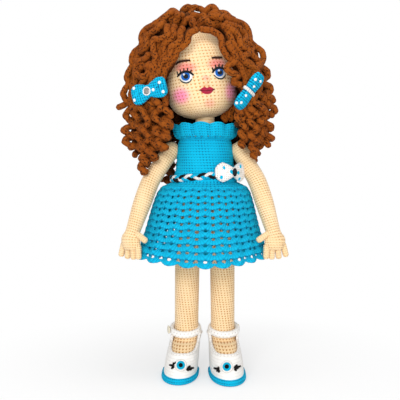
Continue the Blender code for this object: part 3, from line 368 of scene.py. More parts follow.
@dataclass(frozen=True)
class GlossFinish:
    """Glossy plastic or glass with a little variation."""

    name: str
    slot: str
    colour: tuple[float, float, float]
    second: tuple[float, float, float]
    scale: float = 400.0
    roughness: float = 0.18
    coat: float = 0.4
    shine: float = 0.5

    def material(self) -> bpy.types.Material:
        """Return the plastic's material, made once."""
        found = bpy.data.materials.get(self.name)
        if found:
            return found
        nodes = Nodes(self.name)
        cloud = nodes.noise(self.scale, 2.0)
        nodes.wire(nodes.mix(cloud, self.colour, self.second), nodes.shader.inputs["Base Color"])
        rough = nodes.add("ShaderNodeMapRange")
        rough.inputs["To Min"].default_value = self.roughness
        rough.inputs["To Max"].default_value = self.roughness * 1.6
        nodes.wire(cloud, rough.inputs["Value"])
        nodes.wire(rough.outputs[0], nodes.shader.inputs["Roughness"])
        nodes.set(Coat_Weight=self.coat, Coat_Roughness=0.1, Specular_IOR_Level=self.shine)
        nodes.bump(cloud, 0.00005, 0.3)
        return nodes.material


@dataclass(frozen=True)
class WoodFinish:
    """Plain turned wood with a fine grain."""

    name: str
    slot: str
    colour: tuple[float, float, float]
    grain: tuple[float, float, float]

    def material(self) -> bpy.types.Material:
        """Return the wood's material, made once."""
        found = bpy.data.materials.get(self.name)
        if found:
            return found
        nodes = Nodes(self.name)
        place = nodes.add("ShaderNodeTexCoord").outputs["Object"]
        stretch = nodes.add("ShaderNodeMapping")
        stretch.inputs["Scale"].default_value = (1, 1, 0.08)
        nodes.wire(place, stretch.inputs["Vector"])
        noise = nodes.add("ShaderNodeTexNoise")
        noise.inputs["Scale"].default_value = 900.0
        nodes.wire(stretch.outputs[0], noise.inputs["Vector"])
        fac = noise.outputs["Fac"]
        nodes.wire(nodes.mix(fac, self.colour, self.grain), nodes.shader.inputs["Base Color"])
        nodes.set(Roughness=0.55)
        nodes.bump(fac, 0.0001, 0.4)
        return nodes.material


Finish = YarnFinish | GlossFinish | WoodFinish

# Each yarn's second colour is the shade painted between its stitches; its third is a lighter tone that
# patches of noise mix in.
SKIN = YarnFinish("skin_cotton", "skin_yarn", (0.88, 0.62, 0.32), (0.52, 0.22, 0.05),
                  (0.95, 0.74, 0.47), fleck=0.2)
FACE = YarnFinish("face_cotton", "skin_yarn", (0.91, 0.63, 0.33), (0.60, 0.26, 0.06),
                  (0.96, 0.75, 0.47), fleck=0.2, tinted=True)
BLUE = YarnFinish("blue_cotton", "blue_yarn", (0.0, 0.41, 0.67), (0.0, 0.055, 0.17),
                  (0.0, 0.53, 0.80), sheen=0.0)
WHITE = YarnFinish("white_cotton", "white_yarn", (0.93, 0.90, 0.86), (0.60, 0.53, 0.46),
                   (0.96, 0.94, 0.91), sheen=0.1)
BROWN = YarnFinish("brown_cotton", "brown_yarn", (0.228, 0.047, 0.002), (0.008, 0.001, 0.0),
                   (0.37, 0.095, 0.006), sheen=0.0, fleck=0.6, pits=0.9)
# A darker copy of the brown yarn, as painted shade for the cap and the inner hair and locks that lie
# behind the outer locks.
SHADED_BROWN = YarnFinish("deep_brown_cotton", "brown_yarn", (0.085, 0.021, 0.002),
                        (0.006, 0.001, 0.0), (0.13, 0.036, 0.004), sheen=0.0, fleck=0.6, pits=0.9)
DEEP_BLUE = YarnFinish("deep_blue_cotton", "deep_blue_yarn", (0.0, 0.48, 0.74),
                       (0.0, 0.24, 0.44), (0.0, 0.56, 0.82), sheen=0.0)
BLACK = YarnFinish("black_cotton", "belt_yarn", (0.004, 0.003, 0.004), (0.001, 0.001, 0.001),
                   (0.007, 0.006, 0.006), sheen=0.0)
BELT_WHITE = YarnFinish("belt_white_cotton", "belt_yarn", (0.82, 0.80, 0.77),
                        (0.4, 0.36, 0.32), (0.88, 0.87, 0.85))
CORD = YarnFinish("inner_cotton", "inner_cord", (0.70, 0.66, 0.58), (0.4, 0.35, 0.27),
                  (0.76, 0.72, 0.65))
DOWEL = WoodFinish("dowel_beech", "dowel_wood", (0.60, 0.38, 0.19), (0.42, 0.23, 0.10))
BEAD = GlossFinish("black_glass", "black_bead", (0.004, 0.004, 0.005), (0.012, 0.012, 0.013),
                   roughness=0.3, coat=0.0, shine=0.12)
PEARL = GlossFinish("pearl_plastic", "pearl_bead", (0.85, 0.84, 0.82), (0.70, 0.69, 0.68))
GEM = GlossFinish("silver_stone", "blue_gem", (0.42, 0.38, 0.35), (0.02, 0.014, 0.01), 600.0,
                  0.12, 1.0)
BUTTON = GlossFinish("button_plastic", "cream_button", (0.78, 0.72, 0.58), (0.70, 0.63, 0.48),
                     roughness=0.35, coat=0.1)


# Crochet


class Stitch(Enum):
    """The kinds of crocheted surface on the doll."""

    SINGLE = "single crochet in rounds"
    CORD = "crocheted cord"
    FLAT = "flat rows seen from the front"
    PITTED = "smooth cord with small gaps between its stitches"
    LACE = "open fans"


def single_crochet(column: Array, row: Array) -> Array:
    """Return the height, 0 to 1, of V stitches with a gap below each."""
    level = np.floor(row)
    rise = row - level
    across = (column + 0.12 * level) % 1.0 - 0.5
    leg = 0.10 + 0.26 * rise
    near = np.minimum(np.abs(across - leg), np.abs(across + leg))
    strand = np.exp(-((near / 0.17) ** 2))
    away = np.minimum(rise, 1 - rise)
    gap = np.exp(-((across / 0.21) ** 2) - (away / 0.25) ** 2)
    groove = np.exp(-((away / 0.16) ** 2))
    uneven = 0.85 + 0.25 * np.sin(7.1 * np.floor(column) + 12.9 * level)
    return np.clip(0.56 + 0.44 * strand - 0.95 * uneven * gap - 0.17 * groove, 0, 1)


def cord_stitches(column: Array, row: Array) -> Array:
    """Return the height of the knots of a crocheted cord."""
    level = np.floor(row)
    rise = row - level
    across = (column + 0.5 * level) % 1.0 - 0.5
    knot = np.cos(np.pi * across) ** 2
    arch = np.sin(np.pi * rise) ** 0.6
    return np.clip(0.35 + 0.65 * knot, 0, 1) * (0.45 + 0.55 * arch)


def flat_rows(column: Array, row: Array) -> Array:
    """Return the height of rows of small slanting stitches."""
    rise = row % 1.0
    slant = (column + 0.35 * rise + 0.5 * np.floor(row)) % 1.0
    return np.sin(np.pi * rise) ** 0.8 * (0.45 + 0.55 * np.sin(np.pi * slant) ** 0.8)


def pitted(column: Array, row: Array) -> Array:
    """Return the height of a smooth cord with a small pit beside each stitch."""
    level = np.floor(row)
    across = (column + 0.5 * level) % 1.0 - 0.5
    pit = np.exp(-((across / 0.24) ** 2) - (((row - level) - 0.5) / 0.32) ** 2)
    return 1 - pit


RELIEFS: dict[Stitch, Relief] = {
    Stitch.SINGLE: single_crochet,
    Stitch.CORD: cord_stitches,
    Stitch.FLAT: flat_rows,
    Stitch.PITTED: pitted,
}


@dataclass
class Fabric:
    """A crocheted surface: how many stitches it has, how high and how finely they are made."""

    columns: int
    rows: int
    stitch: Stitch = Stitch.SINGLE
    depth: float = 0.5 * MM
    across: int = 6  # faces across one stitch
    along: int = 5  # faces along one row
    contrast: float = 1.0  # how much darker the shade painted in its gaps is


def new_object(name: str, mesh: bpy.types.Mesh) -> bpy.types.Object:
    """Put a mesh into the scene."""
    item = bpy.data.objects.new(name, mesh)
    bpy.context.collection.objects.link(item)
    return item


def coordinates(mesh: bpy.types.Mesh) -> Array:
    """Return the points of a mesh."""
    flat = np.empty(len(mesh.vertices) * 3, np.float32)
    mesh.vertices.foreach_get("co", flat)
    return flat.reshape(-1, 3).astype(float)


def place_points(mesh: bpy.types.Mesh, points: Array) -> None:
    """Move the points of a mesh."""
    mesh.vertices.foreach_set("co", points.astype(np.float32).ravel())
    mesh.update()


def paint(mesh: bpy.types.Mesh, name: str, values: Array) -> None:
    """Write one number, or one colour, for each point of a mesh."""
    if values.ndim == 1:
        layer = mesh.attributes.new(name, "FLOAT", "POINT")
        layer.data.foreach_set("value", values.astype(np.float32))
        return
    layer = mesh.attributes.new(name, "FLOAT_COLOR", "POINT")
    full = np.concatenate([values, np.ones((len(values), 1))], axis=1)
    layer.data.foreach_set("color", full.astype(np.float32).ravel())


def normals_of(surface: Surface, u: Array, v: Array) -> Array:
    """Return the outward direction of a surface at each place."""
    step = 1e-3
    low_v, high_v = np.clip(v - step, 0, 1), np.clip(v + step, 0, 1)
    across = surface(u + step, v) - surface(u - step, v)
    along = surface(u, high_v) - surface(u, low_v)
    return unit(np.cross(across, along))


def mesh_of(shape: bmesh.types.BMesh, name: str) -> bpy.types.Mesh:
    """Return a new mesh with a bmesh's shape, and free the bmesh."""
    mesh = bpy.data.meshes.new(name)
    shape.to_mesh(mesh)
    shape.free()
    return mesh


def grid_mesh(name: str, wide: int, tall: int) -> tuple[bpy.types.Mesh, Array, Array]:
    """Return a flat grid with a UV map, and the share of each point across and along."""
    shape = bmesh.new()
    shape.loops.layers.uv.new("UVMap")
    bmesh.ops.create_grid(shape, x_segments=wide, y_segments=tall, size=0.5, calc_uvs=True)
    mesh = mesh_of(shape, name)
    flat = coordinates(mesh)
    return mesh, flat[:, 0] + 0.5, flat[:, 1] + 0.5


def scale_uv(mesh: bpy.types.Mesh, columns: float, rows: float) -> None:
    """Make one unit of the UV map one stitch."""
    data = mesh.uv_layers[0].data
    flat = np.empty(len(data) * 2, np.float32)
    data.foreach_get("uv", flat)
    pairs = flat.reshape(-1, 2) * np.array([columns, rows], np.float32)
    data.foreach_set("uv", pairs.ravel())


def close_up(mesh: bpy.types.Mesh, poles: bool = True) -> None:
    """Join the seam, and the poles if there are any, and turn every face outwards."""
    shape = bmesh.new()
    shape.from_mesh(mesh)
    bmesh.ops.remove_doubles(shape, verts=shape.verts, dist=WELD)
    if poles:
        bmesh.ops.dissolve_degenerate(shape, dist=WELD, edges=shape.edges)
    bmesh.ops.recalc_face_normals(shape, faces=shape.faces)
    shape.to_mesh(mesh)
    shape.free()


def cut_away(mesh: bpy.types.Mesh, inside: Array) -> None:
    """Remove the faces whose points are all marked as inside an opening."""
    shape = bmesh.new()
    shape.from_mesh(mesh)
    shape.verts.ensure_lookup_table()
    gone = [face for face in shape.faces if all(inside[vert.index] for vert in face.verts)]
    bmesh.ops.delete(shape, geom=gone, context="FACES")
    shape.to_mesh(mesh)
    shape.free()


def add_wall(item: bpy.types.Object, thickness: float, even: bool = False) -> None:
    """Give a sheet its thickness, inwards, measured evenly on a strongly curved one."""
    wall = item.modifiers.new("wall", "SOLIDIFY")
    wall.thickness = thickness
    wall.offset = -1
    wall.use_quality_normals = even


def tree_of(mesh: bpy.types.Mesh) -> BVHTree:
    """Return a search tree of a mesh's faces."""
    return BVHTree.FromPolygons([vert.co[:] for vert in mesh.vertices],
                                [face.vertices[:] for face in mesh.polygons])


def finish_piece(item: bpy.types.Object, finish: Finish, body: str,
                 nodes: Sequence[str] = ()) -> bpy.types.Object:
    """Give a piece its material, its body and the CAD nodes that it stands for.

    Args:
        item: The piece.
        finish: Its finish, which names a material and a slot; the piece takes the material.
        body: The body that it rides on.
        nodes: The CAD nodes that it stands for.

    Returns:
        The piece.
    """
    item.data.materials.clear()
    item.data.materials.append(finish.material())
    item.data.polygons.foreach_set("use_smooth", [True] * len(item.data.polygons))
    item.data.update()
    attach(item, body)
    if nodes:
        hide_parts(*nodes)
    log.info("%s: %d faces on %s", item.name, len(item.data.polygons), body)
    return item


def crochet(name: str, surface: Surface, fabric: Fabric,
            fade: Callable[[Array, Array], Array] | None = None) -> bpy.types.Object:
    """Roll a grid onto a surface, raise its stitches and paint shade between them.

    Args:
        name: The piece's name.
        surface: Gives the point at each share across and along.
        fabric: The stitches.
        fade: Gives how strong the relief is at each share across and along.

    Returns:
        The piece, without a material.
    """
    mesh, u, v = grid_mesh(name, fabric.columns * fabric.across, fabric.rows * fabric.along)
    height = RELIEFS[fabric.stitch](u * fabric.columns, v * fabric.rows)
    strength = fade(u, v) if fade else 1.0
    points = surface(u, v) + normals_of(surface, u, v) * (height * strength * fabric.depth)[:, None]
    place_points(mesh, points)
    # Painted shade: the relief attribute is low between the stitches, where the yarn is darkened;
    # contrast deepens it.
    shade = 0.62 + (height - 0.62) * fabric.contrast
    paint(mesh, "relief", shade * strength + (1 - strength) * 0.6)
    scale_uv(mesh, fabric.columns, fabric.rows)
    close_up(mesh)
    return new_object(name, mesh)


def lathe(profile: Sequence[Sequence[float]], depth_share: float = 1.0,
          middle: Sequence[float] = (0.0, 0.0)) -> Surface:
    """Return the surface that a profile makes round an upright axis.

    Args:
        profile: Radius and height of each point, from the bottom up.
        depth_share: Its depth as a share of its width.
        middle: The axis's x and y.

    Returns:
        The surface, with its seam behind.
    """
    table = spline(profile, measured=2)

    def surface(u: Array, v: Array) -> Array:
        """Return points on the lathe, with the seam behind."""
        angle = math.tau * u + math.pi / 2
        spot = read(table, v)
        radius = np.maximum(spot[..., 0], 0)
        return np.stack([
            middle[0] + radius * np.cos(angle),
            middle[1] + radius * np.sin(angle) * depth_share,
            spot[..., 1],
        ], axis=-1)

    return surface


def spun(name: str, profile: Sequence[Sequence[float]], steps: int,
         place: Matrix) -> bpy.types.Object:
    """Turn a profile in millimetres about its axis.

    Args:
        name: The piece's name.
        profile: Radius and height of each point.
        steps: How many sides it has.
        place: Where it goes.

    Returns:
        The closed piece, without a material.
    """
    shape = bmesh.new()
    verts = [shape.verts.new((radius * MM, 0, height * MM)) for radius, height in profile]
    edges = [shape.edges.new(pair) for pair in zip(verts, verts[1:])]
    bmesh.ops.spin(shape, geom=verts + edges, cent=(0, 0, 0), axis=(0, 0, 1), angle=math.tau,
                   steps=steps, use_merge=True)
    bmesh.ops.remove_doubles(shape, verts=shape.verts, dist=WELD)
    bmesh.ops.holes_fill(shape, edges=shape.edges)
    bmesh.ops.recalc_face_normals(shape, faces=shape.faces)
    shape.transform(place)
    return new_object(name, mesh_of(shape, name))


def pole_fade(columns: int, surface: Surface, least: float = 1.3 * MM) -> Callable:
    """Return a fade that flattens stitches where a surface draws together."""

    def fade(u: Array, v: Array) -> Array:
        """Return 1 where a stitch has room and 0 at a pole."""
        step = 0.5 / columns
        width = np.linalg.norm(surface(u + step, v) - surface(u - step, v), axis=-1)
        return smooth(width, 0.3 * least, least)

    return fade


def round_knots(middle: Vector, way: Vector, sizes: tuple[float, float], length: float,
                power: float = 2.0, extra: tuple[float, ...] = ()) -> list[tuple[float, ...]]:
    """Return knots that close a tube with a round end.

    Args:
        middle: Where the tube has its full size.
        way: The direction of the end.
        sizes: The tube's half width and half depth.
        length: How far the end reaches past the middle.
        power: How blunt the end is; 2 is a ball.
        extra: Values that each knot keeps.

    Returns:
        Knots from the middle out to the tip.
    """
    knots = []
    for share in (0.0, 0.45, 0.72, 0.9, 0.975, 1.0):
        size = max(1 - share**power, 0) ** (1 / power)
        spot = middle + way * (length * share)
        knots.append((*spot, sizes[0] * size, sizes[1] * size, *extra))
    return knots


def tube_surface(knots: Sequence[Sequence[float]], across: Vector, count: int = 400) -> Surface:
    """Return the surface of a tube whose section changes along it.

    Args:
        knots: Rows of x, y, z, half width, half depth and the section's turn.
        across: The direction of the section's width at no turn.
        count: How finely the tube is measured.

    Returns:
        The surface, with its seam behind.
    """
    table = spline(knots, count)
    along = unit(np.gradient(table[:, :3], axis=0))
    side = unit(np.array(across) - along * (along @ np.array(across))[:, None])
    front = np.cross(along, side)
    full = np.concatenate([table, side, front], axis=1)

    def surface(u: Array, v: Array) -> Array:
        """Return points on the tube."""
        row = read(full, v)
        angle = math.tau * u - math.pi / 2
        wide, deep = row[..., 3] * np.cos(angle), row[..., 4] * np.sin(angle)
        turn = row[..., 5]
        x = wide * np.cos(turn) - deep * np.sin(turn)
        y = wide * np.sin(turn) + deep * np.cos(turn)
        return row[..., :3] + row[..., 6:9] * x[..., None] + row[..., 9:12] * y[..., None]

    return surface


def cord_mesh(name: str, path: Array, radius: float, fabric: Fabric,
              shares: Array | None = None) -> bpy.types.Object:
    """Return a crocheted cord along a path, with round ends.

    Args:
        name: The piece's name.
        path: Points close together along the cord's middle.
        radius: The cord's radius under its stitches.
        fabric: The stitches; the rows run along the cord.
        shares: The radius's share at even spacing along the cord.

    Returns:
        The piece, without a material.
    """
    moves = np.linalg.norm(np.diff(path, axis=0), axis=1)
    run = np.concatenate([[0], np.cumsum(moves)])
    even = np.linspace(0, run[-1], len(path))
    points = np.stack([np.interp(even, run, column) for column in path.T], axis=1)
    along = unit(np.gradient(points, axis=0))
    side = np.empty_like(along)
    start = np.cross(along[0], (0.31, 0.87, 0.39))
    side[0] = start / np.linalg.norm(start)
    for index in range(1, len(points)):
        bent = side[index - 1] - along[index] * (side[index - 1] @ along[index])
        side[index] = bent / np.linalg.norm(bent)
    front = np.cross(along, side)
    table = np.concatenate([points, side, front], axis=1)
    sizes = np.ones(2) if shares is None else shares

    def surface(u: Array, v: Array) -> Array:
        """Return points on the cord."""
        row = read(table, v)
        angle = math.tau * u
        end = np.clip(np.minimum(v, 1 - v) * run[-1] / radius, 0, 1)
        size = radius * np.sqrt(1 - (1 - end) ** 2) * np.interp(v, np.linspace(0, 1, len(sizes)), sizes)
        x, y = (size * np.cos(angle))[..., None], (size * np.sin(angle))[..., None]
        return row[..., :3] + row[..., 3:6] * x + row[..., 6:9] * y

    return crochet(name, surface, fabric)


# Torso and limbs


@dataclass
class Torso:
    """The stuffed body, of which the neck and the hips show."""

    half_width: float = 33 * MM
    depth_share: float = 0.8
    round_from: float = 250 * MM  # the neck is round from here
    round_to: float = 262 * MM  # and fully round here
    crotch_radius: float = 7.2 * MM
    side: tuple[tuple[float, float], ...] = (
        (0.0, 183.7), (16, 183.7), (30.5, 184.2), (32.4, 187.5), (32.8, 195.5), (31, 209.5),
        (28.6, 219.6), (26.9, 229.7), (27.4, 239.8), (26.4, 246.8), (22.6, 252.4), (16, 257),
        (11, 261.5), (10, 266), (10, 275), (9.6, 281), (7, 283.4), (0.0, 284),
    )

    def build(self) -> None:
        """Add the torso with its neck and crotch."""
        profile = [(radius * MM, height * MM) for radius, height in self.side]
        round_form = lathe(profile, 1.0, (0, 0))

        def surface(u: Array, v: Array) -> Array:
            """Flatten the body and leave the neck round."""
            points = round_form(u, v)
            neck = smooth(points[..., 2], self.round_from, self.round_to)
            points[..., 1] *= self.depth_share + (1 - self.depth_share) * neck
            return points + np.array([NECK.x, NECK.y, 0])

        fabric = Fabric(44, 42, depth=0.35 * MM, across=4, along=4)
        body = crochet("torso_skin", surface, fabric, pole_fade(44, surface))
        finish_piece(body, SKIN, "torso", ["torso"])
        middle = Vector((NECK.x, NECK.y, joint_place("hip_left").z))
        size = (self.crotch_radius, self.crotch_radius, 0.0)
        knots = [(middle.x - 5 * MM, *middle.yz, *size), (*middle, *size),
                 (middle.x + 5 * MM, *middle.yz, *size)]
        crotch = crochet("torso_crotch", tube_surface(knots, Vector((0, 0, 1))), Fabric(12, 3))
        finish_piece(crotch, SKIN, "torso")


@dataclass
class Arm:
    """One arm with its palm, thumb and fingers."""

    name: str
    spread: float
    hand_turn: float
    radius: float = 9.0 * MM
    drop: float = 91.8 * MM
    forward: float = 24.0 * MM
    palm: tuple[float, float, float] = (11.0 * MM, 6.4 * MM, 11.4 * MM)
    palm_drop: float = 1.8 * MM
    finger_radius: float = 2.95 * MM
    finger_length: float = 13.2 * MM
    thumb_length: float = 13.8 * MM
    route: tuple[tuple[float, float, float], ...] = (
        (0.0, 0.0, 1.0), (0.27, 0.18, 1.0), (0.52, 0.36, 1.04), (0.72, 0.60, 1.04),
        (0.885, 0.83, 0.88), (0.97, 0.95, 0.84),
    )
    fingers: tuple[tuple[str, float, float, float], ...] = (
        ("index", -0.84, 0.62, -2), ("middle", -0.27, 0.68, -2), ("ring", 0.31, 0.66, 5),
        ("little", 0.87, 0.52, 15),
    )
    thumb: tuple[float, float, float] = (-0.75, -0.54, -58)

    @property
    def side(self) -> int:
        """Return 1 for the doll's left and -1 for its right."""
        return SIDES[self.name]

    @property
    def pivot(self) -> Vector:
        """Return the shoulder's axis."""
        return joint_place(f"shoulder_{self.name}")

    def spot(self, out: float, down: float) -> Vector:
        """Return a point of the arm's middle line."""
        return self.pivot + Vector((self.side * self.spread * out, -self.forward * down,
                                    -self.drop * down))

    @property
    def hand(self) -> Matrix:
        """Return the place and turn of the palm."""
        middle = self.spot(1, 1) - Vector((0, 0, self.palm_drop))
        return Matrix.Translation(middle) @ Matrix.Rotation(self.side * self.hand_turn, 4, "Z")

    def build(self) -> None:
        """Add the arm and its digits."""
        body = f"arm_{self.name}"
        start = (self.spot(0.27, 0.18) - self.pivot).normalized()
        cap = round_knots(self.pivot, -start, (self.radius, self.radius), self.radius, extra=(0.0,))
        knots = cap[:0:-1]
        knots += [(*self.spot(out, down), size * self.radius, size * self.radius, 0.0)
                  for out, down, size in self.route]
        wide, deep, long = self.palm
        palm = self.hand.translation
        turn = -self.side * self.hand_turn
        lean = Vector((0, -0.12, -1)).normalized()
        knots += round_knots(palm - lean * 0.5 * MM, lean, (wide, deep), long, 3.2, (turn,))
        surface = tube_surface(knots, Vector((1, 0, 0)))
        fabric = Fabric(20, 48, depth=0.42 * MM, contrast=1.2)
        arm = crochet(f"arm_{self.name}_skin", surface, fabric, pole_fade(19, surface))
        finish_piece(arm, SKIN, body, [body])
        self.digit("thumb", *self.thumb, self.thumb_length)
        for name, out, down, spread in self.fingers:
            self.digit(f"finger_{name}", out, down, spread, self.finger_length)

    def digit(self, name: str, out: float, down: float, degrees: float, length: float) -> None:
        """Add a finger or the thumb.

        Args:
            name: The digit's name.
            out: Where its root is across the palm, as a share of its half width.
            down: Where its root is down the palm, as a share of its half length.
            degrees: How far it spreads.
            length: How long it is.
        """
        wide, _, tall = self.palm
        turn = Matrix.Rotation(-self.side * math.radians(degrees), 4, "Y")
        root = Matrix.Translation((self.side * out * wide, 0, -down * tall))
        place = self.hand @ root @ turn
        way = (place.to_3x3() @ Vector((0, 0, -1))).normalized()
        across = (place.to_3x3() @ Vector((1, 0, 0))).normalized()
        size = (self.finger_radius, self.finger_radius)
        back = round_knots(place.translation, -way, size, self.finger_radius, extra=(0.0,))
        middle = place.translation + way * (length - self.finger_radius)
        knots = back[:0:-1] + [(*place.translation, *size, 0.0)]
        knots += round_knots(middle, way, size, self.finger_radius, extra=(0.0,))
        surface = tube_surface(knots, across, 120)
        fabric = Fabric(8, 7, depth=0.32 * MM, across=5, along=5)
        item = crochet(f"{name}_{self.name}_skin", surface, fabric, pole_fade(8, surface, 1.0 * MM))
        node = f"{name}_{self.name}"
        finish_piece(item, SKIN, f"arm_{self.name}", [node])


@dataclass
class Shoe:
    """The form that the leg's foot and its shoe share."""

    name: str
    radius: float = 18.2 * MM
    base: float = 6.3 * MM
    rim: float = 45.5 * MM
    toe_reach: float = 23.5 * MM
    toe_top: float = 38 * MM
    toe_out: float = math.radians(3)
    splay: float = 5.0 * MM  # how far the foot stands outside the ankle
    wall: float = 2.4 * MM
    sole: float = 6.4 * MM
    spread: float = 1.7 * MM
    opening: tuple[float, float] = (14.8 * MM, 16.4 * MM)
    opening_power: float = 5.4
    opening_from: float = 4 * MM
    shares: tuple[tuple[float, float], ...] = (
        (1.0, 0.0), (1.0, 0.2), (0.98, 0.40), (0.95, 0.57), (0.92, 0.76), (0.90, 1.0),
    )

    @property
    def side(self) -> int:
        """Return 1 for the doll's left and -1 for its right."""
        return SIDES[self.name]

    @property
    def hip(self) -> Vector:
        """Return the hip's axis."""
        return joint_place(f"hip_{self.name}")

    @property
    def body(self) -> str:
        """Return the body that the leg rides on."""
        return f"leg_{self.name}"

    def toed(self, points: Array) -> Array:
        """Draw the front half of a round foot out into a toe."""
        radius = np.maximum(np.hypot(points[..., 0], points[..., 1]), 1e-9)
        front = np.clip(-points[..., 1] / radius, 0, 1)
        level = np.maximum(points[..., 2], self.base) / self.toe_top
        shift = self.toe_reach * np.sqrt(np.clip(1 - level**2, 0, 1)) * front**0.52
        shift *= np.clip(radius / self.radius * 1.35, 0, 1)
        return points - np.stack([0 * shift, shift, 0 * shift], axis=-1)

    def placed(self, points: Array) -> Array:
        """Turn the toe out, lean the leg and put it under its hip."""
        turned = turn_about(points, (0, 0, 0), "Z", self.side * self.toe_out)
        lean = np.clip((self.hip.z - turned[..., 2]) / (self.hip.z - self.rim), 0, 1)
        low = np.clip(1 - turned[..., 2] / (self.rim - 4 * MM), 0, 1) ** 0.7
        turned[..., 0] += self.hip.x + self.side * (self.spread * lean + self.splay * low)
        turned[..., 1] += self.hip.y
        return turned

    def profile(self, inset: float = 0.0) -> list[tuple[float, float]]:
        """Return the shoe's side from the sole up, moved inwards by an inset."""
        rise = self.rim - self.base
        return [(self.radius * wide - inset, self.base + rise * high) for wide, high in self.shares]

    def skin(self, profile: Sequence[Sequence[float]]) -> Surface:
        """Return the toed and placed surface of a profile."""
        form = lathe(profile)
        return lambda u, v: self.placed(self.toed(form(u, v)))

    def point(self, angle: float, height: float, lift: float = 0.0) -> Vector:
        """Return a point on the upper, at an angle from the toe and a height."""
        rows = self.profile(-lift)
        radius = np.interp(height, [row[1] for row in rows], [row[0] for row in rows])
        spot = np.array([[radius * math.sin(angle), -radius * math.cos(angle), height]])
        return Vector(self.placed(self.toed(spot))[0])


@dataclass
class Leg(Shoe):
    """One leg with its foot, shoe, strap, button and eye ornament."""

    leg_radius: float = 12.8 * MM
    ankle: float = 12.4 * MM
    button_shift: tuple[float, float, float] = (0.0, 0.0, 0.0)
    button_scale: float = 1.0
    eye_pixel: tuple[float, float] = (0.0, 0.0)
    lash_pixels: tuple[tuple[float, float], ...] = ()

    def build(self) -> None:
        """Add the leg and everything on its foot."""
        self.build_leg()
        self.build_sole()
        self.build_upper()
        self.build_strap()
        self.build_button()
        self.build_eye()

    def build_leg(self) -> None:
        """Add the stuffed leg, whose foot fills the shoe."""
        top = [(self.leg_radius * math.cos(angle), self.hip.z + self.leg_radius * math.sin(angle))
               for angle in np.radians([0, 22, 45, 67, 80, 90])]
        calf = (self.leg_radius, self.hip.z + (self.rim - self.hip.z) * 0.5)
        foot = self.profile(self.wall + 0.7 * MM)
        profile = [(0, self.base + 1 * MM), (8 * MM, self.base + 0.8 * MM), *foot,
                   (self.ankle, 54.9 * MM), calf, *top]
        surface = self.skin(profile)
        fabric = Fabric(25, 85, depth=0.42 * MM, contrast=2.4)
        leg = crochet(f"leg_{self.name}_skin", surface, fabric, pole_fade(25, surface))
        finish_piece(leg, SKIN, self.body, [self.body])

    def build_sole(self) -> None:
        """Add the thick crocheted sole."""
        edge = self.radius + 1.3 * MM
        low, high = 0.65 * MM, self.sole
        profile = [(0, low), (edge * 0.5, low), (edge - 2 * MM, low), (edge - 0.6 * MM, 0.8 * MM),
                   (edge, high / 2), (edge - 0.6 * MM, high - 0.5 * MM), (edge - 2.5 * MM, high),
                   (edge * 0.5, high), (0, high)]
        surface = self.skin(profile)
        fabric = Fabric(50, 16, depth=0.6 * MM, across=5, along=4)
        sole = crochet(f"sole_{self.name}_crochet", surface, fabric, pole_fade(56, surface))
        finish_piece(sole, BLUE, self.body, [f"shoe_sole_{self.name}"])

    def opening_share(self, points: Array) -> Array:
        """Return less than 1 for points inside the vamp opening."""
        wide, rise = self.opening
        ahead = np.where(points[..., 1] < -self.opening_from, 0.0, 9.0)
        power = self.opening_power
        across = np.abs(points[..., 0] / wide) ** power
        return across + (np.maximum(self.rim - points[..., 2], 0) / rise) ** power + ahead

    def build_upper(self) -> None:
        """Add the white upper with its opening and rolled edge."""
        inset = 0.5 * MM
        top = (self.radius * self.shares[-1][0] - inset, self.rim + 0.6 * MM)
        profile = [*self.profile(inset), top]
        columns, rows = 44, 13
        mesh, u, v = grid_mesh(f"upper_{self.name}_crochet", columns * 6, rows * 5)
        inside = self.opening_share(self.toed(lathe(profile)(u, v))) < 1
        surface = self.skin(profile)
        height = flat_rows(u * columns, v * rows)
        points = surface(u, v) + normals_of(surface, u, v) * (height * 0.2 * MM)[:, None]
        place_points(mesh, points)
        # Painted shade between the rows of stitches.
        paint(mesh, "relief", 0.45 + 0.55 * height)
        scale_uv(mesh, columns, rows)
        cut_away(mesh, inside)
        close_up(mesh, poles=False)
        upper = new_object(mesh.name, mesh)
        add_wall(upper, 1.5 * MM)
        finish_piece(upper, WHITE, self.body, [f"shoe_upper_{self.name}"])
        edge = cord_mesh(f"upper_{self.name}_edge", self.rim_path(), 1.35 * MM,
                         Fabric(5, 44, Stitch.CORD, 0.35 * MM, along=4))
        finish_piece(edge, WHITE, self.body)

    def rim_path(self) -> Array:
        """Return the line of the shoe's top edge, round the heel and down round the vamp."""
        wide, rise = self.opening
        half = math.asin(wide / (self.radius * self.shares[-1][0]))
        spots = []
        for angle in np.linspace(-half, -math.tau + half, 60):
            spots.append(self.point(angle, self.rim, -0.4 * MM))
        for share in np.linspace(-1, 1, 40)[1:-1]:
            across = math.sin(share * math.pi / 2)
            power = self.opening_power
            height = self.rim - rise * max(1 - abs(across) ** power, 0) ** (1 / power)
            width = np.interp(height, [row[1] for row in self.profile()],
                              [row[0] for row in self.profile()])
            spots.append(self.point(math.asin(min(wide * -across / width, 1)), height, -0.4 * MM))
        return spline([tuple(spot) for spot in spots + spots[:2]], 300)

    def build_strap(self) -> None:
        """Add the padded strap round the ankle."""
        middle = self.rim + 3.4 * MM
        reach = self.ankle + 2.3 * MM
        profile = [(reach + 2.4 * MM * math.cos(angle), middle + 3.3 * MM * math.sin(angle))
                   for angle in np.linspace(-math.pi, math.pi, 17)]
        form = lathe(profile)

        def surface(u: Array, v: Array) -> Array:
            """Lower the strap's front and lift its back."""
            points = form(u, v)
            points[..., 2] += 3.2 * MM * points[..., 1] / reach
            points[..., 0] += 1.2 * MM * self.side
            return self.placed(points)

        fabric = Fabric(26, 6, Stitch.PITTED, 0.3 * MM)
        strap = crochet(f"strap_{self.name}_crochet", surface, fabric)
        finish_piece(strap, WHITE, self.body, [f"ankle_strap_{self.name}"])

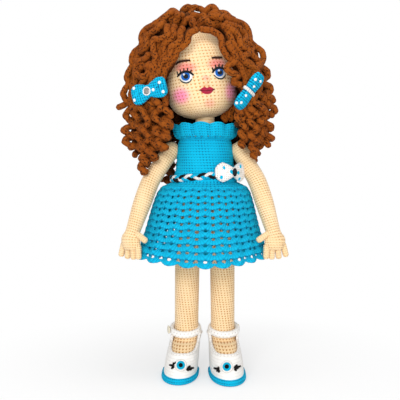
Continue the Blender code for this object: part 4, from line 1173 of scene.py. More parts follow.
    def build_button(self) -> None:
        """Add the strap's dished button."""
        low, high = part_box(f"strap_button_{self.name}")
        middle = (low + high) / 2 + Vector(self.button_shift)
        centre = Vector(self.placed(np.array([[0, 0, middle.z]]))[0])
        out = Vector((middle.x - centre.x, middle.y - centre.y, 0)).normalized()
        side = ((0.35, 0.9), (0.9, 0.9), (1.5, 0.85), (2.2, 1.15), (2.8, 1.3), (3.2, 1.1),
                (3.3, 0.6), (3.0, 0.1), (0.35, 0.0))
        turn = out.to_track_quat("Z", "Y").to_matrix().to_4x4()
        place = Matrix.Translation(middle - out * 0.9 * MM) @ turn
        button = spun(f"button_{self.name}", side, 24, place @ Matrix.Scale(self.button_scale, 4))
        finish_piece(button, BUTTON, self.body, [f"strap_button_{self.name}"])

    def toe_spot(self, column: float, row: float) -> tuple[Vector, Vector]:
        """Return the place on the toe that a pixel shows, and the way out of it."""
        surface = self.skin(self.profile())
        mesh, u, v = grid_mesh("toe_probe", 96, 48)
        place_points(mesh, surface(u, v))
        tree = tree_of(mesh)
        bpy.data.meshes.remove(mesh)
        spot, normal, *_ = tree.ray_cast(*CAMERA.ray(column, row))
        return spot, normal if normal.y < 0 else -normal

    def build_eye(self) -> None:
        """Add the eye ornament with its rounds of yarn, and the lashes beside it."""
        spot, normal = self.toe_spot(*self.eye_pixel)
        turn = Matrix.Translation(spot) @ normal.to_track_quat("Z", "Y").to_matrix().to_4x4()
        bend = 1 / (2 * (self.radius + 4 * MM))
        rounds = (
            ("eye_white", 5.9 * MM, 0.7 * MM, WHITE, 3, ()),
            ("eye_ring", 4.2 * MM, 1.5 * MM, DEEP_BLUE, 3, (f"shoe_eye_ring_{self.name}",)),
            ("eye_pupil", 2.05 * MM, 2.3 * MM, BLACK, 2, (f"shoe_eye_pupil_{self.name}",)),
        )
        for label, radius, lift, finish, rows, nodes in rounds:
            profile = [(0, -0.6 * MM), (radius, -0.6 * MM), (radius * 1.02, lift * 0.5),
                       (radius * 0.85, lift * 0.95), (radius * 0.4, lift), (0, lift)]
            form = lathe(profile)

            def surface(u: Array, v: Array, form: Surface = form) -> Array:
                """Bend the disc round the toe and put it in its place."""
                points = form(u, v)
                points[..., 2] -= bend * points[..., 0] ** 2
                return points @ np.array(turn.to_3x3()).T + np.array(turn.translation)

            fabric = Fabric(max(int(radius / MM * 3.2), 8), rows * 3, Stitch.FLAT, 0.25 * MM,
                            across=5)
            item = crochet(f"{label}_{self.name}", surface, fabric, pole_fade(fabric.columns, surface))
            finish_piece(item, finish, self.body, nodes)
        for index, stroke in enumerate(self.lash_pixels):
            spots = []
            for share in np.linspace(0, 1, 5):
                column = stroke[0] + (stroke[2] - stroke[0]) * share
                row = stroke[1] + (stroke[3] - stroke[1]) * share
                place, out = self.toe_spot(column, row)
                spots.append(tuple(place + out * 0.35 * MM))
            lash = cord_mesh(f"toe_lash_{self.name}_{index}", spline(spots, 40), 1.1 * MM,
                             Fabric(4, 5, Stitch.CORD, 0.15 * MM, across=3, along=3),
                             np.array([1.25, 1.1, 0.9, 0.6]))
            finish_piece(lash, BLACK, self.body)


# Stage


def build_stage() -> None:
    """Add the pale floor, the white surroundings and the soft lamps."""
    shape = bmesh.new()
    bmesh.ops.create_grid(shape, x_segments=1, y_segments=1, size=4.0)
    mesh = bpy.data.meshes.new("floor")
    shape.to_mesh(mesh)
    shape.free()
    floor = new_object("floor", mesh)
    nodes = Nodes("floor_white")
    nodes.set(Base_Color=(0.93, 0.93, 0.93), Roughness=0.9)
    tree = nodes.tree
    paths = nodes.add("ShaderNodeLightPath")
    glow = nodes.add("ShaderNodeEmission")
    glow.inputs["Color"].default_value = (1, 1, 1, 1)
    blend = nodes.add("ShaderNodeMixShader")
    far = nodes.add("ShaderNodeVectorMath", operation="LENGTH")
    nodes.wire(nodes.add("ShaderNodeTexCoord").outputs["Object"], far.inputs[0])
    fade = nodes.add("ShaderNodeMapRange", interpolation_type="SMOOTHSTEP")
    fade.inputs["From Min"].default_value = 0.09
    fade.inputs["From Max"].default_value = 0.32
    fade.inputs["To Min"].default_value = 0.55
    nodes.wire(far.outputs["Value"], fade.inputs["Value"])
    away = nodes.add("ShaderNodeMath", operation="MULTIPLY")
    nodes.wire(fade.outputs[0], away.inputs[1])
    nodes.wire(paths.outputs["Is Camera Ray"], away.inputs[0])
    nodes.wire(away.outputs[0], blend.inputs[0])
    nodes.wire(nodes.shader.outputs[0], blend.inputs[1])
    nodes.wire(glow.outputs[0], blend.inputs[2])
    nodes.wire(blend.outputs[0], tree.nodes["Material Output"].inputs["Surface"])
    mesh.materials.append(nodes.material)
    world = bpy.data.worlds.new("studio")
    bpy.context.scene.world = world
    world.use_nodes = True
    tree = world.node_tree
    back = tree.nodes["Background"]
    paths = tree.nodes.new("ShaderNodeLightPath")
    white = tree.nodes.new("ShaderNodeMath")
    white.operation = "MAXIMUM"
    tree.links.new(paths.outputs["Is Camera Ray"], white.inputs[0])
    tree.links.new(paths.outputs["Is Glossy Ray"], white.inputs[1])
    level = tree.nodes.new("ShaderNodeMapRange")
    level.inputs["To Min"].default_value = 0.52
    level.inputs["To Max"].default_value = 1.0
    tree.links.new(white.outputs[0], level.inputs["Value"])
    tree.links.new(level.outputs[0], back.inputs["Strength"])
    back.inputs["Color"].default_value = (1, 1, 1, 1)
    for name, place, size, power in (
        ("key_lamp", (-0.30, -1.08, 0.72), 0.45, 6.8),
        ("fill_lamp", (0.24, -1.20, 0.32), 0.8, 5.4),
        ("top_lamp", (0.1, -0.1, 1.25), 0.5, 4.0),
    ):
        data = bpy.data.lights.new(name, "AREA")
        data.size = size
        data.energy = power
        lamp = bpy.data.objects.new(name, data)
        lamp.location = place
        aim = Vector((0, 0, 0.22)) - Vector(place)
        lamp.rotation_euler = aim.to_track_quat("-Z", "Y").to_euler()
        bpy.context.collection.objects.link(lamp)


# Dress


@dataclass
class Dress:
    """The crocheted dress: bodice, standing ruffle and lace skirt."""

    neck: float = 253.5 * MM
    ruffle_top: float = 270.6 * MM
    ruffle_reach: float = 34.3 * MM
    ruffle_waves: int = 11
    ruffle_wave: float = 1.3 * MM
    waist: float = 33.5 * MM
    waist_height: float = 207.2 * MM
    hem: float = 66.0 * MM
    hem_height: float = 131.5 * MM
    depth_share: float = 0.8
    shells: int = 22
    lace_rows: int = 11
    yoke: float = 0.15  # the share of the skirt above its lace
    across: int = 18  # faces across one shell
    along: int = 8  # faces down one lace row
    wall: float = 1.7 * MM
    side: tuple[tuple[float, float], ...] = (
        (34.2, 205.5), (33.8, 209.5), (32.8, 214), (31.4, 219.6), (29.9, 229.7), (29.9, 236),
        (29.6, 242), (28.7, 247.5), (27.6, 251.5), (27.2, 254.5),
    )

    def build(self) -> None:
        """Add the dress."""
        self.build_bodice()
        self.build_ruffle()
        self.build_skirt()

    def body_form(self, profile: Sequence[Sequence[float]], depth: float) -> Surface:
        """Return the surface of a profile round the body's axis."""
        return lathe(profile, depth, (NECK.x, NECK.y))

    def build_bodice(self) -> None:
        """Add the bodice, worked in rounds."""
        profile = [(radius * MM, height * MM) for radius, height in self.side]
        surface = self.body_form(profile, 0.82)
        bodice = crochet("bodice_crochet", surface, Fabric(58, 17, depth=0.7 * MM))
        add_wall(bodice, 0.9 * MM, even=True)
        finish_piece(bodice, BLUE, "torso", ["dress_bodice"])

    def build_ruffle(self) -> None:
        """Add the standing ruffle round the neck, with its eyelets and wavy edge."""
        rise = self.ruffle_top - self.neck
        shares = ((0.79, 0.0), (0.92, 0.16), (0.97, 0.36), (0.99, 0.6), (1.0, 0.8), (1.0, 1.0))
        profile = [(self.ruffle_reach * out, self.neck + rise * up) for out, up in shares]
        form = self.body_form(profile, 0.86)

        def surface(u: Array, v: Array) -> Array:
            """Wave the band's upper half."""
            points = form(u, v)
            middle = np.array([NECK.x, NECK.y, 0])
            away = points - middle
            angle = np.arctan2(away[..., 1], away[..., 0])
            wave = np.cos(self.ruffle_waves * angle + 0.6 * np.sin(2 * angle))
            out = 1 + self.ruffle_wave * wave * v**1.2 / self.ruffle_reach
            away[..., :2] *= out[..., None]
            scallop = np.sqrt((1 + wave) / 2)
            away[..., 2] += (2.4 * MM * (scallop - 0.7) - 1.6 * MM * np.cos(angle) ** 2) * v**2
            return away + middle

        columns = 120
        fabric = Fabric(columns, 7, Stitch.LACE, 0.95 * MM, across=4, along=7)
        RELIEFS[Stitch.LACE] = self.ruffle_relief
        ruffle = crochet("ruffle_crochet", surface, fabric)
        centres = [((index + 0.5) / (columns / 4), 0.2 + 0.05 * (index % 2))
                   for index in range(columns // 4)]
        self.pierce(ruffle.data, surface, centres, (0.0052, 0.060))
        add_wall(ruffle, 1.2 * MM, even=True)
        finish_piece(ruffle, BLUE, "torso", ["neck_ruffle"])

    @staticmethod
    def ruffle_relief(column: Array, row: Array) -> Array:
        """Return the height of upright stitches that spread as fans."""
        fan = np.cos(np.pi * (column / 5.0)) ** 2
        knot = single_crochet(column * 0.62 + 0.25 * fan, row * 1.1)
        return np.clip(0.02 + 0.80 * knot + 0.18 * fan, 0, 1)

    def pierce(self, mesh: bpy.types.Mesh, surface: Surface, centres: Sequence[tuple[float, ...]],
               size: tuple[float, float]) -> None:
        """Cut rounded holes through a grid that has been rolled onto a surface.

        Args:
            mesh: The rolled grid.
            surface: The surface that it lies on.
            centres: Each hole's share across and along, with its own size as an option.
            size: The usual half size of a hole, as shares across and along.
        """
        shape = bmesh.new()
        shape.from_mesh(mesh)
        layer = shape.loops.layers.uv.active
        scale = np.array([max(loop[layer].uv.x for face in shape.faces for loop in face.loops),
                          max(loop[layer].uv.y for face in shape.faces for loop in face.loops)])
        buckets: dict[tuple[int, int], list] = {}
        for centre in centres:
            buckets.setdefault((int(centre[0] * 60), int(centre[1] * 30)), []).append(centre)
        gone = []
        for face in shape.faces:
            spot = np.mean([loop[layer].uv for loop in face.loops], axis=0) / scale
            column, row = int(spot[0] * 60), int(spot[1] * 30)
            for near in range(9):
                for centre in buckets.get((column + near % 3 - 1, row + near // 3 - 1), ()):
                    wide, tall = centre[2:4] if len(centre) > 2 else size
                    share = ((spot[0] - centre[0]) / wide) ** 2 + ((spot[1] - centre[1]) / tall) ** 2
                    if share < 1:
                        gone.append((face, centre, wide, tall))
        rims: dict[bmesh.types.BMVert, tuple] = {}
        doomed = {face for face, *_ in gone}
        for face, centre, wide, tall in gone:
            for loop in face.loops:
                if any(other not in doomed for other in loop.vert.link_faces):
                    rims[loop.vert] = (np.array(loop[layer].uv) / scale, centre, wide, tall)
        bmesh.ops.delete(shape, geom=list(doomed), context="FACES")
        for vert, (spot, centre, wide, tall) in rims.items():
            if not vert.is_valid:
                continue
            away = (spot - np.array(centre[:2])) / (wide, tall)
            length = np.linalg.norm(away)
            if length < 1e-6:
                continue
            target = np.array(centre[:2]) + away / length * (wide, tall)
            old = surface(np.array([spot[0]]), np.array([spot[1]]))[0]
            new = surface(np.array([target[0]]), np.array([target[1]]))[0]
            vert.co += Vector((new - old) * 0.9)
        loose = [vert for vert in shape.verts if not vert.link_faces]
        bmesh.ops.delete(shape, geom=loose, context="VERTS")
        shape.to_mesh(mesh)
        shape.free()

    def skirt_surface(self) -> Surface:
        """Return the flared skirt with its folds and its scalloped hem."""
        drop = self.waist_height - self.hem_height
        shares = ((0, 1), (0.17, 0.968), (0.40, 0.90), (0.56, 0.70), (0.77, 0.30), (1, 0))
        profile = [(self.waist + (self.hem - self.waist) * out, self.hem_height + drop * high)
                   for out, high in shares]
        form = lathe(profile)

        def surface(u: Array, v: Array) -> Array:
            """Return points from the waist, at no share along, to the hem."""
            points = form(u, v)
            low = np.clip((self.waist_height - points[..., 2]) / drop, 0, 1.2)
            angle = np.arctan2(points[..., 1], points[..., 0])
            swell = 1 + (1.3 * MM * np.cos(self.shells * (angle - math.pi / 2))
                         + 1.6 * MM * np.cos(5 * angle + 0.8)) * low**2 / self.hem
            points[..., 0] *= swell
            points[..., 1] *= swell
            scallop = np.abs(np.cos(self.shells / 2 * (angle - math.pi / 2)))
            points[..., 2] -= (3.4 * MM * scallop**0.8 * low**9
                               + 6.5 * MM * low**2 * np.sin(angle) ** 2)
            right = np.clip(-np.cos(angle), 0, 1) ** 1.5
            points[..., 0] -= 7.2 * MM * right * low**0.55
            points[..., 1] *= self.depth_share
            return points + np.array([NECK.x, NECK.y, 0])

        return surface

    def skirt_relief(self, u: Array, v: Array) -> Array:
        """Return the height of the yoke's rows and of the shells below them."""
        shell = u * self.shells
        side = shell % 1.0 - 0.5
        row = (v - self.yoke) / (1 - self.yoke) * self.lace_rows
        bulge = 0.30 * (1 - (2 * side) ** 2)
        level = (row - bulge) % 1.0
        rib = 0.5 + 0.5 * np.cos(math.tau * 5 * side / (0.45 + 0.55 * level))
        scale = np.where(level < 0.86, 0.42 + 0.58 * level**0.8, (1 - level) * 6.8)
        lace = np.clip(scale * (0.50 + 0.50 * rib), 0, 1)
        plain = single_crochet(u * 62, v / self.yoke * 3)
        share = smooth(row, -0.2, 0.1)
        return plain * (1 - share) + lace * share

    def build_skirt(self) -> None:
        """Add the skirt: a plain yoke and rows of shells with a hole between each two."""
        surface = self.skirt_surface()
        lace_faces = self.lace_rows * self.along
        tall = round(lace_faces / (1 - self.yoke))
        mesh, u, v = grid_mesh("skirt_lace", self.shells * self.across, tall)
        v = 1 - v
        height = self.skirt_relief(u, v)
        out = -normals_of(surface, u, v)
        place_points(mesh, surface(u, v) + out * (height * 1.1 * MM)[:, None])
        # Painted shade where the lace lies low, darkest where one row of shells meets the next.
        paint(mesh, "relief", 0.90 * height + 0.02)
        self.pierce(mesh, lambda a, b: surface(a, 1 - b), self.lace_holes(), (0.0035, 0.015))
        scale_uv(mesh, self.shells * 6, 32)
        close_up(mesh)
        skirt = new_object("skirt_lace", mesh)
        add_wall(skirt, self.wall, even=True)
        finish_piece(skirt, BLUE, "torso", ["dress_skirt"])

    def lace_holes(self) -> list[tuple[float, float, float, float]]:
        """Return each hole's place in the grid and its half sizes."""
        random = np.random.default_rng(7)
        holes = []
        deep = (1 - self.yoke) / self.lace_rows
        for row in range(self.lace_rows):
            for half in range(self.shells * 2):
                centre = half % 2 == 1
                place = 0.17 if centre else -0.03
                down = self.yoke + (row + 0.30 + place) * deep
                size = random.uniform(0.85, 1.15)
                wide = (0.125 if centre else 0.11) * size * (0.9 + 0.02 * row) / self.shells
                tall = (0.19 if centre else 0.155) * size * deep
                if row == 0:
                    wide, tall = wide * 0.8, tall * 0.8
                across = (half / 2 + random.uniform(-0.02, 0.02)) / self.shells
                if 0.004 < across < 0.996:
                    holes.append((across, 1 - down, wide, tall))
        return holes


def ball(name: str, sizes: Sequence[float], place: Matrix, segments: int = 24) -> bpy.types.Object:
    """Return a bead or a knot of yarn.

    Args:
        name: The piece's name.
        sizes: Its half sizes along the axes of its place.
        place: Where it goes.
        segments: How many faces it has round its middle.

    Returns:
        The piece, without a material.
    """
    shape = bmesh.new()
    bmesh.ops.create_uvsphere(shape, u_segments=segments, v_segments=segments * 2 // 3, radius=1)
    shape.transform(place @ Matrix.Diagonal((*sizes, 1)))
    mesh = mesh_of(shape, name)
    paint(mesh, "relief", np.full(len(mesh.vertices), 0.8))
    return new_object(name, mesh)


@dataclass
class Bow:
    """A stuffed crocheted bow along its own x axis, drawn in at its middle."""

    name: str
    place: Matrix
    body: str
    finish: YarnFinish
    nodes: tuple[str, ...]
    half_length: float = 22.5 * MM
    height: float = 22.5 * MM
    thickness: float = 6.0 * MM
    sweep: float = 0.0
    corner: float = 3.4
    section: float = 2.5
    pinch: float = 0.36
    stitch: float = 2.6 * MM

    def form(self, u: Array, v: Array) -> Array:
        """Return points of the bow in its own frame."""
        along = -np.cos(np.pi * v)
        wide = np.maximum(1 - np.abs(along) ** self.corner, 0) ** (1 / self.corner)
        out = np.minimum(np.abs(along) / 0.6, 1) ** 0.9
        share = self.pinch + (1 - self.pinch) * out
        angle = math.tau * u
        power = 2 / self.section
        front = np.sign(np.cos(angle)) * np.abs(np.cos(angle)) ** power
        up = np.sign(np.sin(angle)) * np.abs(np.sin(angle)) ** power
        x = along * self.half_length
        y = front * self.thickness / 2 * (0.7 + 0.3 * share) * wide + np.abs(x) * self.sweep
        return np.stack([x, y, up * self.height / 2 * share * wide], axis=-1)

    def build(self) -> BVHTree:
        """Add the bow and return the tree of its faces, for what is sewn on it."""
        mesh, u, v = grid_mesh(self.name, 84, 76)
        flat = self.form(u, v)
        height = single_crochet(flat[:, 2] / self.stitch, flat[:, 0] / self.stitch)
        away = normals_of(self.form, u, v)
        away *= np.sign(np.sum(away * flat, axis=1))[:, None]
        fade = smooth(np.sin(np.pi * v), 0.05, 0.3)
        points = flat + away * (height * fade * 0.4 * MM)[:, None]
        turn = np.array(self.place)
        place_points(mesh, points @ turn[:3, :3].T + turn[:3, 3])
        # Painted shade between the bow's stitches.
        paint(mesh, "relief", 1.5 * height - 0.42)
        scale_uv(mesh, 16, 16)
        close_up(mesh)
        bow = finish_piece(new_object(self.name, mesh), self.finish, self.body, self.nodes)
        return tree_of(bow.data)


def sew_on(name: str, tree: BVHTree, pixel: tuple[float, float], sizes: Sequence[float],
           finish: Finish, body: str, nodes: Sequence[str] = ()) -> None:
    """Add a bead or a knot of yarn where a pixel shows a piece.

    Args:
        name: The bead's name.
        tree: The faces of the piece that it is sewn to.
        pixel: Its column and row in the photograph.
        sizes: Its half sizes across, up and out of the piece.
        finish: Its yarn, glass or pearl.
        body: The body that it rides on.
        nodes: The CAD nodes that it stands for.
    """
    spot, normal, *_ = tree.ray_cast(*CAMERA.ray(*pixel))
    if spot is None:
        log.info("%s: nothing at pixel %s", name, pixel)
        return
    if normal.dot(CAMERA.place - spot) < 0:
        normal = -normal
    place = Matrix.Translation(spot) @ normal.to_track_quat("Z", "Y").to_matrix().to_4x4()
    item = ball(name, sizes, place, 20)
    finish_piece(item, finish, body, nodes)


@dataclass
class Belt:
    """The plaited cord round the waist with its small bow."""

    reach: float = 35.4 * MM
    height: float = 214.6 * MM
    rise: float = 3.4 * MM
    depth_share: float = 0.80
    strand: float = 1.75 * MM
    swing: float = 2.0 * MM
    depth: float = 0.8 * MM
    plaits: int = 10
    bow_reach: float = 41.6 * MM
    bow_height: float = 218.6 * MM
    bow_yaw: float = math.radians(35)
    dots: tuple[tuple[float, float], ...] = (
        (224.2, 167.7), (221.5, 177.3), (240.4, 166.5), (239.4, 178.9), (231.3, 171.6),
        (238.6, 172.8),
    )
    bead: tuple[float, float, float] = (2.4 * MM, 2.2 * MM, 4.5 * MM)
    knot_azimuth: float = math.radians(-141)

    def build(self) -> None:
        """Add the belt and its bow."""
        nodes: tuple[str, ...] = ("belt_cord",)
        for index, (label, finish) in enumerate(
            (("white", BELT_WHITE), ("black", BLACK), ("blue", BLUE))
        ):
            item = self.build_strand(f"belt_{label}_strand", index / 3)
            finish_piece(item, finish, "torso", nodes)
            nodes = ()
        azimuth = math.radians(-45)
        place = Vector((
            NECK.x + self.bow_reach * math.cos(azimuth),
            NECK.y + self.bow_reach * math.sin(azimuth) * self.depth_share - 0.3 * MM,
            self.bow_height,
        ))
        turn = Matrix.Translation(place) @ Matrix.Rotation(self.bow_yaw, 4, "Z")
        bow = Bow("belt_bow_crochet", turn, "torso", WHITE, ("belt_bow",), 19.2 * MM, 22.6 * MM,
                  6.4 * MM, sweep=0.30, corner=2.6, stitch=2.2 * MM)
        tree = bow.build()
        for index, pixel in enumerate(self.dots):
            sew_on(f"belt_bow_dot_{index}", tree, pixel, (1.6 * MM, 2.0 * MM, 0.7 * MM), BLUE,
                   "torso")
        self.build_knot()
        bead = turn @ Matrix.Translation((-1.7 * MM, -4.8 * MM, 0))
        item = ball("belt_bow_bead_glass", self.bead, bead)
        finish_piece(item, BEAD, "torso", ["belt_bow_bead"])
        for side in (-1, 1):
            knot = turn @ Matrix.Translation((side * 2.6 * MM, -1.6 * MM, -0.4 * MM))
            sizes = (1.6 * MM, 1.5 * MM, 1.7 * MM)
            item = ball(f"belt_bow_knot_{(side + 1) // 2}", sizes, knot)
            finish_piece(item, BLUE, "torso")

    def build_knot(self) -> None:
        """Add the black knot that ends the belt beside the doll's right hip."""
        out = self.reach + 2.6 * MM
        spot = Matrix.Translation((
            NECK.x + out * math.cos(self.knot_azimuth),
            NECK.y + out * math.sin(self.knot_azimuth) * self.depth_share,
            self.height - self.rise - 1.3 * MM,
        ))
        item = ball("belt_knot", (2.2 * MM, 2.2 * MM, 2.3 * MM), spot)
        finish_piece(item, BLACK, "torso")

    def build_strand(self, name: str, phase: float) -> bpy.types.Object:
        """Return one closed strand of the plait."""
        turns = np.linspace(0, 1, 721)
        angle = math.tau * turns + math.pi / 2
        beat = math.tau * (self.plaits * turns + phase)
        out = self.reach + self.depth * np.sin(2 * beat)
        path = np.stack([
            NECK.x + out * np.cos(angle), NECK.y + out * np.sin(angle) * self.depth_share,
            self.height + self.rise * np.cos(angle) + self.swing * np.sin(beat),
        ], axis=-1)
        away = np.stack([np.cos(angle), np.sin(angle), 0 * angle], axis=-1)
        along = unit(np.gradient(path, axis=0))
        along[0] = along[-1] = unit(path[1] - path[-2])
        side = unit(np.cross(along, away))
        table = np.concatenate([path, side, unit(np.cross(along, side))], axis=1)

        def surface(u: Array, v: Array) -> Array:
            """Return points round the strand."""
            row = read(table, v)
            turn = math.tau * u
            return (row[..., :3] + row[..., 3:6] * (self.strand * np.cos(turn))[..., None]
                    + row[..., 6:9] * (self.strand * np.sin(turn))[..., None])

        return crochet(name, surface, Fabric(4, 150, Stitch.CORD, 0.1 * MM, across=3, along=4))


# Head and face


@dataclass
class HeadForm:
    """The head's smooth form, leaning on its neck as the doll holds it."""

    half_width: float = 37.5 * MM
    half_depth: float = 36 * MM
    rise: float = 66 * MM
    drop: float = 30 * MM
    middle: float = 306 * MM
    powers: tuple[float, float] = (2.1, 2.3)
    tilt: float = math.radians(-6)
    turn: float = math.radians(6.5)
    nose_height: float = 313 * MM
    nose_reach: float = 5.4 * MM
    nose_rise: float = 2.3 * MM

    def tilted(self, points: Array) -> Array:
        """Lean points with the head and put them over the neck."""
        leant = turn_about(points, (0, 0, 270 * MM), "Y", self.tilt)
        return leant + np.array([NECK.x, NECK.y, 0])

    def upright(self, azimuth: Array, height: Array, grow: float) -> Array:
        """Return points at an angle round from the left ear and an angle of height."""
        flat, up = np.cos(height), np.sin(height)
        power = np.where(up > 0, *self.powers)
        tall = np.where(up > 0, self.rise, self.drop) + grow
        size = (np.abs(flat) ** power + np.abs(up) ** power) ** (1 / power)
        return np.stack([
            flat / size * np.cos(azimuth) * (self.half_width + grow),
            flat / size * np.sin(azimuth) * (self.half_depth + grow),
            up / size * tall + self.middle,
        ], axis=-1)

    def surface(self, grow: float = 0.0, nose: bool = True, low: float = -math.pi / 2) -> Surface:
        """Return the head's surface, from the chin or a given angle up to the crown."""
        azimuth = np.linspace(0, math.tau, 3)
        heights = np.linspace(low, math.pi / 2, 400)
        line = self.upright(azimuth[0], heights, grow)
        run = np.concatenate([[0], np.cumsum(np.linalg.norm(np.diff(line, axis=0), axis=1))])
        run /= run[-1]
        spot = np.array([0, -self.half_depth - grow, self.nose_height])
        spot = turn_about(spot, (0, 0, 0), "Z", self.turn)

        def form(u: Array, v: Array) -> Array:
            """Return points on the head."""
            angle = math.tau * u + math.pi / 2
            points = self.upright(angle, np.interp(v, run, heights), grow)
            if nose:
                away = points - spot
                near = np.linalg.norm(away * (1, 1, 1.08), axis=-1) / self.nose_reach
                bulge = self.nose_rise * np.clip(1 - near**2, 0, 1) ** 0.75
                points = points + unit(points - (0, 0, self.middle)) * bulge[..., None]
            return self.tilted(points)

        return form


@dataclass(frozen=True)
class FaceTint:
    """A soft ellipse of colour on the face, in pixels of the photograph."""

    column: float
    row: float
    wide: float
    tall: float
    colour: tuple[float, float, float]
    strength: float


@dataclass
class Eye:
    """One embroidered eye: outlines and rounds in pixels of the photograph."""

    name: str
    white: tuple[tuple[float, float], ...]
    iris: tuple[float, float, float]
    shine: tuple[float, float, float]
    under: tuple[tuple[float, float], ...]
    lid: tuple[tuple[float, float], ...]
    lashes: tuple[tuple[float, float, float, float], ...]
    brow: tuple[tuple[float, float], ...]


LIPS = YarnFinish("lip_cotton", "", (0.50, 0.012, 0.045), (0.16, 0.003, 0.012),
                  (0.66, 0.03, 0.09), sheen=0.15)
LINE = YarnFinish("line_cotton", "", (0.10, 0.004, 0.012), (0.03, 0.001, 0.004),
                  (0.14, 0.01, 0.02), sheen=0.1)
IRIS = YarnFinish("iris_cotton", "deep_blue_yarn", (0.004, 0.10, 0.52), (0.001, 0.03, 0.20),
                  (0.012, 0.20, 0.70), sheen=0.1)
INK = YarnFinish("eye_black_cotton", "", (0.010, 0.009, 0.010), (0.002, 0.002, 0.002),
                 (0.02, 0.018, 0.018), sheen=0.08)
SNOW = YarnFinish("eye_white_cotton", "", (0.90, 0.90, 0.90), (0.62, 0.62, 0.64),
                  (0.95, 0.95, 0.95))
BROW = YarnFinish("brow_cotton", "", (0.045, 0.014, 0.006), (0.01, 0.003, 0.001),
                  (0.06, 0.02, 0.008), sheen=0.1)


